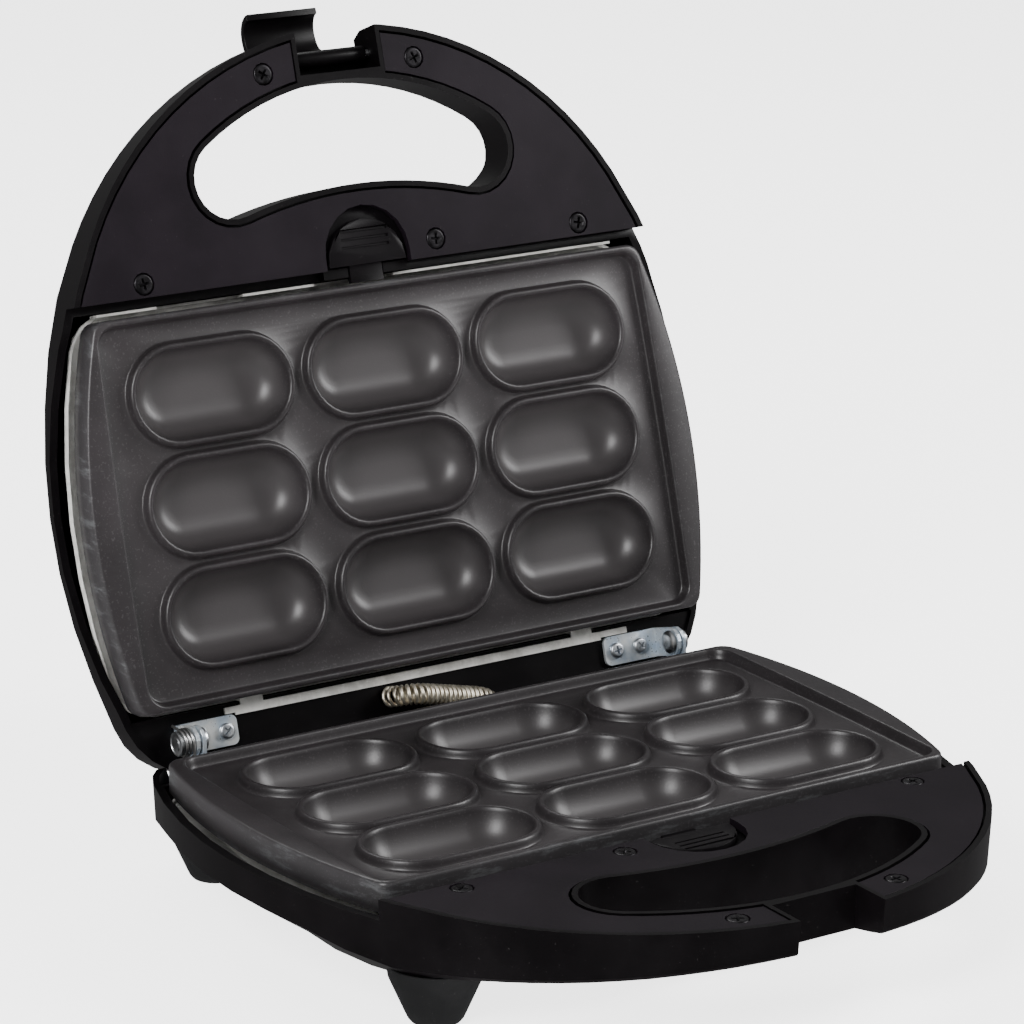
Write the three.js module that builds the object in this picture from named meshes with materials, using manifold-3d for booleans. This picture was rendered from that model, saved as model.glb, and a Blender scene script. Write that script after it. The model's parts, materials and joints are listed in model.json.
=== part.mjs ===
// Waffle maker with exchangeable plates: millimetres, +Z up, front towards -Y.
// Heights of each half are depths from its own plate's ridge plane, which is zero.
import * as THREE from "three";
import { mergeVertices } from "three/addons/utils/BufferGeometryUtils.js";
import Module from "manifold-3d";

const wasm = await Module();
wasm.setup();

// Driving dimensions of the plates and their wells
const wells = {
  columns: 3,
  rows: 3,
  columnPitch: 63,
  rowPitch: 35,
  ridgeGapAcross: 5,
  ridgeGapAlong: 3,
  ridgeWidth: 1.75,
  ridgeFoot: 1,
  depth: 11,
  draft: 4,
  wall: 2,
};
const plate = {
  frontMargin: 10,
  rearMargin: 11,
  sideMargin: 20.2,
  sideRadius: 214,
  widestShift: 7.6,
  cornerRadius: 5,
  rimTop: 0.5,
  rimFront: 1.7,
  rimSlope: 1.6,
  fieldInset: 11.2,
  fieldRadius: 2000,
  fieldShift: 25,
  fieldCorner: 5,
  field: -3,
  web: 2.4,
  skirt: -9,
  skirtWall: 2,
};
const wellsHalfWidth = (wells.columns * wells.columnPitch - wells.ridgeGapAcross) / 2;
const wellsHalfDepth = (wells.rows * wells.rowPitch - wells.ridgeGapAlong) / 2;
const plateHalfWidth = wellsHalfWidth + plate.sideMargin;
const plateFront = wellsHalfDepth + plate.frontMargin;
const plateRear = wellsHalfDepth + plate.rearMargin;

// Driving dimensions of the two casing halves
const fit = { seat: 0.3, touch: 0.35, run: 0.5, overrun: 60, weld: 0.0001 };
const casing = {
  closedGap: 2.9,
  sideGap: 7.3,
  rearGap: 22,
  tipGap: 1.8,
  handleSetback: 27.4,
  flankAngle: THREE.MathUtils.degToRad(28.5),
  cornerRadius: 28,
  leastCorner: 2,
  wall: 2.4,
  draft: 0.8,
  top: -1.2,
  sideTop: -7.6,
  stepBack: 5.3,
  bayFront: 2.6,
  bayRear: 1.8,
  archShort: 1,
  edgeLine: 9,
  edgeFade: 40,
  rearFade: 30,
  edgePower: 0.75,
};
const tipRadius = plateHalfWidth - casing.tipGap;
const tipCentre = -(plateFront - casing.handleSetback);
const tip = tipCentre - tipRadius;
const halfWidth = plateHalfWidth + casing.sideGap;
const flankCosine = Math.cos(casing.flankAngle);
const flankRadius = (halfWidth - tipRadius * flankCosine) / (1 - flankCosine);
const flankCentre = {
  x: (tipRadius - flankRadius) * flankCosine,
  y: tipCentre + (flankRadius - tipRadius) * Math.sin(casing.flankAngle),
};
const rearEdge = plateRear + casing.rearGap;
const bayFront = -(plateFront + casing.bayFront);
const bayRear = plateRear + casing.bayRear;
const handleRoot = -(plateFront + casing.stepBack);

// What differs between the base and the lid: heights of the outer edge, sections and undersides
const baseShell = {
  bottom: -28.5,
  floor: 2.5,
  handleBottom: -11.4,
  underside: [
    { front: 3, z: -28.5 },
    { front: 20, z: -22.4 },
    { front: 36, z: -19.4 },
    { front: 54, z: -17 },
    { front: 66, z: -15.2 },
    { front: 76, z: -13.2 },
  ],
  edgeTip: -10.6,
  edgeFront: -21.2,
  edgeSide: -17.6,
  edgeRear: -24,
  sideDip: 0,
  rings: [{ z: -28.5, inset: 12, flat: 10.2 }],
  notchFloor: -60,
};
const lidShell = {
  bottom: -35.1,
  floor: 2.5,
  handleBottom: -15.8,
  underside: [
    { front: -14, z: -35.1 },
    { front: 33, z: -15.8 },
  ],
  edgeTip: -11,
  edgeFront: -17.4,
  edgeSide: -15.8,
  edgeRear: -19.5,
  sideDip: 5,
  rings: [
    { z: -26.1, inset: 9, flat: 0 },
    { z: -32.1, inset: 16, flat: 0 },
    { z: -35.1, inset: 27, flat: 0 },
  ],
  notchFloor: -13.4,
};
const archHalf = plateFront - casing.archShort;
const archShares = [-1, -0.8, -0.6, -0.4, -0.2, 0, 0.2, 0.4, 0.6, 0.8, 1];
const post = { radius: 4, fromSide: 34, fromFront: 21 };
const postX = wellsHalfWidth - post.fromSide;
const postY = wellsHalfDepth - post.fromFront;

// Driving dimensions of the handle: its cover, hole, notch and bosses
const cover = { top: -1.56, thickness: 2.5, groove: 0.8, rim: 1.9, edgeGap: 0.3, ledge: 1.8 };
const hole = {
  gripWidth: 17.4,
  fromTip: 51,
  innerRadius: 150,
  endRadius: 13,
  band: 1.8,
  coverGap: 2.6,
  wall: 4.6,
};
const notch = { halfWidth: 14.8, barWidth: 2.6, cheekWall: 1.8, root: 4, cheek: 4, ledge: 5 };
const tray = { floor: 2.4, wall: 5.6, bossRadius: 4.2 };
const screw = {
  headRadius: 3.4,
  headHeight: 1.3,
  shankRadius: 1.4,
  reach: 7,
  slotWidth: 0.9,
  slotLength: 3.6,
  slotDepth: 0.7,
};
const coverScrews = {
  far: { angle: 0.4278, radiusInset: 21.35 },
  tip: { fromNotch: 13.1, radiusInset: 9.1 },
  button: { x: 25.9, frontOfRoot: 5.7 },
};

// Driving dimensions of the release buttons
const button = {
  recessRadius: 15.6,
  recessStraight: 4.2,
  sideGap: 1.4,
  travel: 4,
  top: -2.4,
  step: 2.3,
  thickness: 4,
  rootGap: 0.9,
  lap: 0.3,
  tongueHalf: 6,
  tongueThickness: 2,
  stopTop: -4.8,
  gripLines: 3,
  gripPitch: 2.6,
  gripWidth: 0.9,
  gripDepth: 0.5,
  gripStart: 5.2,
  gripHalfShare: 0.62,
  bossHalf: 2.8,
  bossDepth: 4.2,
  bossLength: 9.1,
  springDrop: 2,
  springRadius: 1.2,
  springHousing: 1.6,
  springLength: 7.5,
};
const buttonHalf = button.recessRadius - button.sideGap;

// Driving dimensions of the hinge line
const hinge = {
  fromRear: 12.2,
  height: 1,
  openAngle: THREE.MathUtils.degToRad(106.415),
  earRadius: 4.8,
  sheet: 1.2,
  fromPlateSide: 20.8,
  leafLength: 21.7,
  bracketShort: 0.3,
  leafTop: 10.2,
  boreRadius: 2.6,
  pinRadius: 2.3,
  headRadius: 3.9,
  headHeight: 1.6,
  sleeveWall: 1.1,
  earGap: 0.9,
  outerGap: 0.6,
  floorBelow: 17,
  screwRadius: 2.6,
  screwInset: 4.3,
  screwPitch: 9.4,
};
const hingeY = rearEdge - hinge.fromRear;
const hingeZ = hinge.height;
const earOuter = plateHalfWidth - hinge.fromPlateSide;
const leafInner = earOuter - hinge.leafLength;
const bracketInner = leafInner + hinge.bracketShort;
const sleeveRadius = hinge.pinRadius + hinge.sleeveWall;
const leafScrewXs = [0, 1].map((i) => leafInner + hinge.screwInset + i * hinge.screwPitch);
const bracketScrewXs = [0, 1].map((i) => bracketInner + hinge.screwInset + i * hinge.screwPitch);
const leafScrewPlaces = [-1, 1].flatMap((way) => leafScrewXs.map((x) => ({ x: way * x, y: hingeY })));
const bracketScrewPlaces = [-1, 1].flatMap((way) => bracketScrewXs.map((x) => ({ x: way * x, y: hingeY })));
const trough = {
  wall: 2.2,
  wallTop: -8.8,
  rearTop: -15.3,
  dropStart: 4,
  dropEnd: 6.5,
  shelf: 2.5,
};
const deck = { depth: -8.6, thickness: 3, fromEar: 6.4, skirtWall: 2.2, skirtAbove: 1.2 };
const skirtHalf = earOuter - deck.fromEar;
const conduitWindow = { left: -26, right: 46 };

// Driving dimensions of the latch at the tip of the upper handle
const latch = {
  sideGap: 1.6,
  behindTip: 9.6,
  height: 11.5,
  thickness: 2.4,
  lean: 2.2,
  stem: 24.9,
  hookRadius: 6.6,
  hookDepth: 6.4,
  hookSweep: THREE.MathUtils.degToRad(175),
  knuckleRadius: 2.7,
  boreRadius: 1.6,
  pinRadius: 1.3,
  pinPast: 2.8,
};
const latchHalf = notch.halfWidth - latch.sideGap;
const latchY = tip + latch.behindTip;

// Driving dimensions of the pieces inside
const reflector = {
  sheet: 0.8,
  sideGap: 1.4,
  cornerRadius: 14,
  straight: 1,
  brim: -12,
  lipTop: -7.6,
  lips: [
    { from: -96, to: -11.5 },
    { from: 18, to: 44 },
    { from: 75, to: 96 },
  ],
  floorTop: -20.2,
  floorInset: 12,
  frontGap: 2.2,
  rearGap: 1.5,
  stripTop: -7.7,
  stripStart: 2.7,
  stripNarrow: 2,
  stripWide: 2.8,
  stripPast: 3.3,
  stripFar: 10.1,
  tabInner: { left: 3.7, right: 10.7 },
  tabWidth: 8,
};
const heater = {
  radius: 3.25,
  fromSide: 12,
  fromFront: 13,
  bend: 20,
  turn: 4.2,
  drop: 4.2,
  hole: 6.6,
  ringPitch: 11,
};
const heaterX = wellsHalfWidth - heater.fromSide;
const heaterY = wellsHalfDepth - heater.fromFront;
const foot = {
  topRadius: 13.75,
  bottomRadius: 7.25,
  height: 14.2,
  fromPlateSide: 25.8,
  front: 4,
  rear: 4,
  boss: 7.2,
};
const footX = plateHalfWidth - foot.fromPlateSide;
const footPlaces = [
  { name: "foot_front_left", x: -footX, y: -(plateFront + foot.front) },
  { name: "foot_front_right", x: footX, y: -(plateFront + foot.front) },
  { name: "foot_rear_left", x: -footX, y: plateRear + foot.rear },
  { name: "foot_rear_right", x: footX, y: plateRear + foot.rear },
];
const gland = { fromSide: 37, z: -19.8, body: 3, flange: 4, flangeDepth: 1.8, bore: 2, inside: 1.4 };
const glandX = wellsHalfWidth - gland.fromSide;
const lens = { x: 11, y: -22, radius: 3.2, rim: 4.4, rimHeight: 1.1 };
const thermostat = { radius: 9 };
const fuse = { radius: 2, length: 13, x: 30 };
const block = { fromSide: 50, fromPlate: 3.5, length: 30, depth: 8, ways: 3, wireRadius: 1.5 };
const blockX = block.fromSide - wellsHalfWidth;

// Wound pieces: the wires' coiled sleeve and the hinge's torsion spring
const conduit = { coilRadius: 2.9, wire: 1.1, pitch: 2.6, lidX: -14, baseX: 24, bend: 9 };
const bendShare = 0.55;
const torsion = { turns: 2.25, wire: 0.9, pitch: 1.25, firstGap: 0.3, tail: 5, washer: 0.8 };
const curl = { steps: 8, sides: 5 };

const steps = {
  tip: 14,
  casingFlank: 9,
  casingCorner: 5,
  flank: 6,
  field: 3,
  corner: 4,
  hole: 9,
  holeInner: 7,
  holeEnd: 11,
  well: 3,
  dee: 10,
  hook: 9,
  round: 12,
  rod: 8,
  few: 6,
};

// Solids from three.js geometries, and joins and cuts between them
function asSolid(shape) {
  if (!shape.isBufferGeometry) {
    return shape;
  }
  const source = shape.index ? shape.toNonIndexed() : shape;
  const bare = new THREE.BufferGeometry();
  bare.setAttribute("position", source.getAttribute("position").clone());
  const merged = mergeVertices(bare, fit.weld);
  const vertProperties = new Float32Array(merged.getAttribute("position").array);
  const triVerts = new Uint32Array(merged.index.array);
  const made = new wasm.Manifold(new wasm.Mesh({ numProp: 3, vertProperties, triVerts }));
  if (made.volume() >= 0) {
    return made;
  }
  const turned = triVerts.map((vertex, i) => triVerts[i - (i % 3) + 2 - (i % 3)]);
  return new wasm.Manifold(new wasm.Mesh({ numProp: 3, vertProperties, triVerts: turned }));
}

function asGeometry(shape) {
  if (shape.isBufferGeometry) {
    return shape;
  }
  const mesh = shape.getMesh();
  const geometry = new THREE.BufferGeometry();
  geometry.setAttribute("position", new THREE.BufferAttribute(mesh.vertProperties, 3));
  geometry.setIndex(new THREE.BufferAttribute(mesh.triVerts, 1));
  geometry.computeVertexNormals();
  return geometry;
}

function join(...shapes) {
  return shapes.map(asSolid).reduce((all, next) => all.add(next));
}

function cut(shape, ...tools) {
  return tools.map(asSolid).reduce((left, tool) => left.subtract(tool), asSolid(shape));
}

function common(...shapes) {
  return shapes.map(asSolid).reduce((all, next) => all.intersect(next));
}

function box(x0, x1, y0, y1, z0, z1) {
  const geometry = new THREE.BoxGeometry(x1 - x0, y1 - y0, z1 - z0);
  return geometry.translate((x0 + x1) / 2, (y0 + y1) / 2, (z0 + z1) / 2);
}

// A rod from one point to another
function rod(radius, from, to, sides = steps.round, endRadius = radius) {
  const length = from.distanceTo(to);
  const geometry = new THREE.CylinderGeometry(endRadius, radius, length, sides);
  const turn = new THREE.Quaternion().setFromUnitVectors(
    new THREE.Vector3(0, 1, 0),
    to.clone().sub(from).normalize(),
  );
  geometry.applyQuaternion(turn);
  const middle = from.clone().add(to).multiplyScalar(0.5);
  return geometry.translate(middle.x, middle.y, middle.z);
}

function upright(radius, x, y, z0, z1, sides, endRadius) {
  return rod(radius, new THREE.Vector3(x, y, z0), new THREE.Vector3(x, y, z1), sides, endRadius);
}

function crosswise(radius, x0, x1, y, z, sides, endRadius) {
  return rod(radius, new THREE.Vector3(x0, y, z), new THREE.Vector3(x1, y, z), sides, endRadius);
}

function lengthwise(radius, y0, y1, x, z, sides, endRadius) {
  return rod(radius, new THREE.Vector3(x, y0, z), new THREE.Vector3(x, y1, z), sides, endRadius);
}

// A plan outline extruded upwards
function prism(points, z0, z1) {
  const shape = new THREE.Shape(points);
  const geometry = new THREE.ExtrudeGeometry(shape, { depth: z1 - z0, bevelEnabled: false });
  return geometry.translate(0, 0, z0);
}

// A side view, given as points of y and z, extruded along X
function sidePrism(points, x0, x1) {
  const shape = new THREE.Shape(points);
  const geometry = new THREE.ExtrudeGeometry(shape, { depth: x1 - x0, bevelEnabled: false });
  const swap = new THREE.Matrix4().makeBasis(
    new THREE.Vector3(0, 1, 0),
    new THREE.Vector3(0, 0, 1),
    new THREE.Vector3(1, 0, 0),
  );
  return geometry.applyMatrix4(swap).translate(x0, 0, 0);
}

// A closed skin over rings that have the same number of points
function loft(rings) {
  const count = rings[0].length;
  const positions = rings.flat().flatMap((point) => [point.x, point.y, point.z]);
  const index = [];
  for (let ring = 0; ring + 1 < rings.length; ring += 1) {
    for (let i = 0; i < count; i += 1) {
      const next = (i + 1) % count;
      const low = ring * count;
      const high = low + count;
      index.push(low + i, low + next, high + next);
      index.push(low + i, high + next, high + i);
    }
  }
  const flat = (ring) => ring.map((point) => new THREE.Vector2(point.x, point.y));
  const last = (rings.length - 1) * count;
  for (const [a, b, c] of THREE.ShapeUtils.triangulateShape(flat(rings[0]), [])) {
    index.push(a, c, b);
  }
  for (const [a, b, c] of THREE.ShapeUtils.triangulateShape(flat(rings.at(-1)), [])) {
    index.push(last + a, last + b, last + c);
  }
  const geometry = new THREE.BufferGeometry();
  geometry.setAttribute("position", new THREE.Float32BufferAttribute(positions, 3));
  geometry.setIndex(index);
  return geometry;
}

function level(points, z) {
  return points.map((point) => new THREE.Vector3(point.x, point.y, z));
}

function arc(x, y, radius, from, to, count, keepEnd = true) {
  const points = [];
  const last = keepEnd ? count : count - 1;
  for (let i = 0; i <= last; i += 1) {
    const angle = from + ((to - from) * i) / count;
    points.push(new THREE.Vector2(x + radius * Math.cos(angle), y + radius * Math.sin(angle)));
  }
  return points;
}

// A right half, from the middle of the front to the middle of the rear, with its mirror image
function mirrored(points) {
  const left = points.filter((point) => point.x > fit.weld);
  return [...points, ...left.reverse().map((point) => new THREE.Vector2(-point.x, point.y))];
}

// Outline of both casing halves: a round handle end, two flanks and a rear with round corners
function casingOutline(inset, flat = 0) {
  const quarter = Math.PI / 2;
  const corner = Math.max(casing.cornerRadius - inset, casing.leastCorner);
  const flank = flankRadius - inset;
  const cornerY = rearEdge - inset - corner;
  const rise = cornerY - flankCentre.y;
  const cornerX = flankCentre.x + Math.sqrt((flank - corner) ** 2 - rise ** 2);
  const turn = Math.atan2(rise, cornerX - flankCentre.x);
  const start = -casing.flankAngle;
  const half = [
    ...arc(0, tipCentre, tipRadius - inset, -quarter, start, steps.tip, false),
    ...arc(flankCentre.x, flankCentre.y, flank, start, turn, steps.casingFlank, false),
    ...arc(cornerX, cornerY, corner, turn, quarter, steps.casingCorner),
  ];
  const widest = plateHalfWidth - flat;
  return mirrored(flat ? half.map(({ x, y }) => new THREE.Vector2(Math.min(x, widest), y)) : half);
}

// Outline of the finger hole in the handle, widened all round by a band
function holeOutline(band) {
  const outer = tipRadius - hole.gripWidth;
  const innerCentre = tip + hole.fromTip + hole.innerRadius;
  const reach = innerCentre - tipCentre;
  const near = hole.innerRadius + hole.endRadius;
  const far = outer - hole.endRadius;
  const along = (near ** 2 - far ** 2 + reach ** 2) / (2 * reach);
  const end = { x: Math.sqrt(near ** 2 - along ** 2), y: innerCentre - along };
  const fromTip = Math.atan2(end.y - tipCentre, end.x);
  const fromInner = Math.atan2(end.y - innerCentre, end.x);
  const quarter = Math.PI / 2;
  const half = [
    ...arc(0, tipCentre, outer + band, -quarter, fromTip, steps.hole, false),
    ...arc(end.x, end.y, hole.endRadius + band, fromTip, fromInner + Math.PI, steps.holeEnd, false),
    ...arc(0, innerCentre, hole.innerRadius - band, fromInner, -quarter, steps.holeInner),
  ];
  return mirrored(half);
}

// Two bowed sides between a straight front and rear
function bowedOutline({ halfWidth, radius, shift, corner, front, rear }, sideSteps) {
  const quarter = Math.PI / 2;
  const centre = { x: halfWidth - radius, y: shift };
  const cornerAt = (y) => centre.x + Math.sqrt((radius - corner) ** 2 - (y - centre.y) ** 2);
  const first = -front + corner;
  const last = rear - corner;
  const firstTurn = Math.atan2(first - centre.y, cornerAt(first) - centre.x);
  const lastTurn = Math.atan2(last - centre.y, cornerAt(last) - centre.x);
  return mirrored([
    ...arc(cornerAt(first), first, corner, -quarter, firstTurn, steps.corner, false),
    ...arc(centre.x, centre.y, radius, firstTurn, lastTurn, sideSteps, false),
    ...arc(cornerAt(last), last, corner, lastTurn, quarter, steps.corner),
  ]);
}

// A plate's outer edge, moved inwards by a distance
function plateOutline(inset) {
  return bowedOutline(
    {
      halfWidth: plateHalfWidth - inset,
      radius: plate.sideRadius - inset,
      shift: plate.widestShift,
      corner: plate.cornerRadius,
      front: plateFront - inset,
      rear: plateRear - inset,
    },
    steps.flank,
  );
}

// Edge of a plate's sunk field, almost straight along the sides, so that the rim is broad there
function fieldOutline(grow) {
  const rim = plate.rimFront + plate.rimSlope - grow;
  return bowedOutline(
    {
      halfWidth: plateHalfWidth - plate.fieldInset + grow,
      radius: plate.fieldRadius,
      shift: plate.fieldShift,
      corner: plate.fieldCorner + grow,
      front: plateFront - rim,
      rear: plateRear - rim,
    },
    steps.field,
  );
}

// A plate's flat oblong with fully round ends
function oblong(x, y, length, width) {
  const radius = width / 2;
  const run = (length - width) / 2;
  const quarter = Math.PI / 2;
  return [
    ...arc(x + run, y, radius, -quarter, quarter, steps.well),
    ...arc(x - run, y, radius, quarter, 3 * quarter, steps.well),
  ];
}

// One plate: slab with a skirt, sunk field, nine ridged wells with tubs below
function buildPlate() {
  const high = fit.overrun;
  const fieldUnder = plate.field - plate.web;
  const slab = prism(plateOutline(0), plate.skirt, plate.rimTop);
  const hollow = prism(plateOutline(plate.skirtWall), plate.skirt - high, fieldUnder);
  const floor = fieldOutline(0);
  const lip = fieldOutline(plate.rimSlope);
  const recess = loft([level(floor, plate.field), level(lip, plate.rimTop), level(lip, high)]);
  const ridges = [];
  const tubs = [];
  const bowls = [];
  const length = wells.columnPitch - wells.ridgeGapAcross;
  const width = wells.rowPitch - wells.ridgeGapAlong;
  const foot = 2 * wells.ridgeFoot;
  const mouth = 2 * wells.ridgeWidth;
  const draft = 2 * wells.draft;
  const wall = 2 * wells.wall;
  for (let column = 0; column < wells.columns; column += 1) {
    for (let row = 0; row < wells.rows; row += 1) {
      const x = (column - (wells.columns - 1) / 2) * wells.columnPitch;
      const y = (row - (wells.rows - 1) / 2) * wells.rowPitch;
      const at = (grow, z) => level(oblong(x, y, length + grow, width + grow), z);
      const bottom = -mouth - draft;
      ridges.push(loft([at(foot, plate.field - plate.web / 2), at(foot, plate.field), at(0, 0)]));
      tubs.push(loft([at(bottom + wall, -wells.depth - wells.wall), at(0, plate.field - plate.web / 2)]));
      bowls.push(loft([at(bottom, -wells.depth), at(-mouth, 0), at(-mouth, high)]));
    }
  }
  const body = join(cut(slab, hollow, recess), ...ridges, ...tubs);
  return cut(body, ...bowls);
}

// Where the outer wall's lower edge runs: deepest in front of the plate, higher along the sides
function edgeDepth(shell, y) {
  const front = -(plateFront + casing.edgeLine);
  if (y < front) {
    const share = Math.max(y - tip, 0) / (front - tip);
    return shell.edgeTip + (shell.edgeFront - shell.edgeTip) * share ** casing.edgePower;
  }
  const fromFront = THREE.MathUtils.smoothstep(y, front, front + casing.edgeFade);
  const toRear = THREE.MathUtils.smoothstep(y, rearEdge - casing.rearFade, rearEdge);
  const side = shell.edgeFront + (shell.edgeSide - shell.edgeFront) * fromFront;
  return side + (shell.edgeRear - shell.edgeSide) * toRear;
}

// The block that a casing half is cut from, or with a wall given, its hollow
function casingBlock(shell, wall) {
  const lift = wall ? shell.floor : 0;
  const rings = [...shell.rings]
    .reverse()
    .map(({ z, inset, flat }) => level(casingOutline(inset + wall, flat && flat + wall), z + lift));
  const edge = casingOutline(casing.draft + wall).map(
    (point) => new THREE.Vector3(point.x, point.y, edgeDepth(shell, point.y) + lift),
  );
  const top = level(casingOutline(wall), wall ? fit.overrun : casing.top);
  return loft([...rings, edge, top]);
}

// The side view that gives the handle its lesser depth
function sideView(shell, wall) {
  const lift = wall ? shell.floor : 0;
  const far = fit.overrun;
  return sidePrism(
    [
      new THREE.Vector2(rearEdge + far, shell.bottom + lift),
      new THREE.Vector2(rearEdge + far, far),
      new THREE.Vector2(tip - far, far),
      new THREE.Vector2(tip - far, shell.handleBottom + lift),
      new THREE.Vector2(tip, shell.handleBottom + lift),
      ...[...shell.underside]
        .reverse()
        .map(({ front, z }) => new THREE.Vector2(-(plateFront + front), z + lift)),
    ],
    -halfWidth - far,
    halfWidth + far,
  );
}

// Places of the five screws of a handle cover
const farAngle = -coverScrews.far.angle;
const farRadius = tipRadius - coverScrews.far.radiusInset;
const tipScrewX = notch.halfWidth + coverScrews.tip.fromNotch;
const tipScrewRadius = tipRadius - coverScrews.tip.radiusInset;
const tipScrewY = tipCentre - Math.sqrt(tipScrewRadius ** 2 - tipScrewX ** 2);
const farX = farRadius * Math.cos(farAngle);
const farY = tipCentre + farRadius * Math.sin(farAngle);
const screwPlaces = [
  { x: -farX, y: farY },
  { x: farX, y: farY },
  { x: -tipScrewX, y: tipScrewY },
  { x: tipScrewX, y: tipScrewY },
  { x: -coverScrews.button.x, y: handleRoot - coverScrews.button.frontOfRoot },
];
const holeTip = tipCentre - (tipRadius - hole.gripWidth);
const notchFace = holeTip - notch.barWidth;
const coverBottom = cover.top - cover.thickness;
const recessCentre = handleRoot - button.recessStraight;
const recessTop = recessCentre - button.recessRadius;
const buttonFront = recessTop + button.travel + fit.seat;
const buttonBottom = button.top - button.thickness;
const buttonFlat = handleRoot - button.rootGap;
const grooveFront = buttonFront + fit.run;
const springZ = buttonBottom - button.springDrop;
const springStart = grooveFront + fit.seat;
const springEnd = springStart + button.springLength;

// A D-shaped outline with its flat side towards the plate
function dOutline(radius, centre, flat) {
  return [
    new THREE.Vector2(radius, flat),
    ...arc(0, centre, radius, 0, -Math.PI, steps.dee),
    new THREE.Vector2(-radius, flat),
  ];
}

// The handle's cover, in the frame of its half
function buildCover() {
  const round = prism(casingOutline(cover.rim + cover.groove), coverBottom, cover.top);
  const far = fit.overrun;
  const behind = box(-halfWidth - far, halfWidth + far, handleRoot, rearEdge + far, -far, far);
  const finger = prism(holeOutline(hole.coverGap), -far, far);
  const wing = notch.halfWidth + notch.cheekWall;
  const tipGap = box(-wing, wing, tip - far, holeTip + notch.root, -far, far);
  const dCut = prism(dOutline(button.recessRadius, recessCentre, handleRoot + far), -far, far);
  const screws = screwPlaces.map(({ x, y }) => [
    upright(screw.shankRadius + fit.seat, x, y, -far, far),
    upright(screw.headRadius + fit.seat, x, y, cover.top - screw.headHeight - fit.seat, far),
  ]);
  return cut(round, behind, finger, tipGap, dCut, ...screws.flat());
}

// Outline of the pocket that the button's flange slides in, widened all round by a wall
function pocketOutline(wall) {
  const radius = button.recessRadius + button.lap + fit.run + wall;
  return dOutline(radius, recessCentre - button.travel, handleRoot + fit.overrun);
}

// Cuts that make the handle end of a casing half
function handleCuts(shell) {
  const far = fit.overrun;
  const seatZ = coverBottom - fit.seat;
  const front = box(-halfWidth - far, halfWidth + far, tip - far, handleRoot + cover.edgeGap, -far, far);
  const band = prism(holeOutline(hole.band), -far, far);
  const cheek = notch.halfWidth + notch.cheekWall - fit.seat;
  const tipWall = box(-cheek, cheek, tip - far, holeTip + notch.root, -far, far);
  const seat = cut(common(prism(casingOutline(cover.rim), seatZ, far), front), band, tipWall);
  const finger = prism(holeOutline(0), -far, far);
  const half = notch.halfWidth;
  const past = notchFace - notch.ledge;
  const through = box(-half, half, tip - far, past, -far, far);
  const ledge = box(-half, half, past - fit.seat, notchFace, shell.notchFloor, far);
  const pocket = prism(pocketOutline(0), buttonBottom - fit.run, far);
  const groove = box(
    -button.bossHalf - fit.run,
    button.bossHalf + fit.run,
    grooveFront,
    handleRoot - button.rootGap + fit.run,
    buttonBottom - button.bossDepth - fit.run,
    far,
  );
  return [seat, finger, through, ledge, pocket, groove];
}

// The hollow in the handle under its cover, round the screw bosses
function handleTray(shell) {
  const far = fit.overrun;
  const z0 = shell.handleBottom + tray.floor;
  const z1 = coverBottom - fit.seat;
  const side = halfWidth + far;
  const region = common(
    prism(casingOutline(tray.wall), z0, z1 + fit.seat),
    box(-side, side, tip - far, handleRoot - cover.ledge, -far, far),
  );
  const cheek = notch.halfWidth + notch.cheek;
  const keep = [
    prism(holeOutline(hole.wall), -far, far),
    box(-cheek, cheek, tip - far, holeTip + notch.root, -far, far),
    prism(pocketOutline(cover.ledge), -far, far),
    ...screwPlaces.map(({ x, y }) => upright(tray.bossRadius, x, y, -far, far)),
  ];
  return cut(region, ...keep);
}

// A casing half: block, handle, plate bay, reflector posts and the button's two stops
function buildHalf(shell) {
  const far = fit.overrun;
  const side = halfWidth + far;
  const block = common(casingBlock(shell, 0), sideView(shell, 0));
  const rim = archShares.map(
    (share) => new THREE.Vector2(share * archHalf, casing.sideTop - shell.sideDip * (1 - share ** 2)),
  );
  const above = sidePrism(
    [
      new THREE.Vector2(rearEdge + far, casing.sideTop),
      new THREE.Vector2(rearEdge + far, far),
      new THREE.Vector2(handleRoot, far),
      new THREE.Vector2(handleRoot, casing.sideTop),
      ...(shell.sideDip ? rim : []),
    ],
    -side,
    side,
  );
  const hollow = common(casingBlock(shell, casing.wall), sideView(shell, casing.wall));
  const bay = common(hollow, box(-side, side, bayFront, bayRear, -far, far));
  const screws = screwPlaces.map(({ x, y }) =>
    upright(screw.shankRadius + fit.seat, x, y, cover.top - screw.reach - fit.seat, far),
  );
  const posts = [-1, 1].flatMap((across) =>
    [-1, 1].map((along) => {
      const top = reflector.floorTop - reflector.sheet - fit.seat;
      return upright(post.radius, across * postX, along * postY, shell.bottom + shell.floor / 2, top);
    }),
  );
  const stopFront = handleRoot - button.rootGap + fit.run;
  const stopInner = button.tongueHalf + fit.run;
  const stopLow = casing.sideTop - casing.wall;
  const stops = [-1, 1].map((way) => {
    const ends = [way * stopInner, way * button.recessRadius].sort((a, b) => a - b);
    return box(...ends, stopFront, bayFront, stopLow, button.stopTop);
  });
  const open = cut(block, above, ...handleCuts(shell), handleTray(shell), bay);
  return cut(join(open, ...posts, ...stops), ...screws);
}

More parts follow.
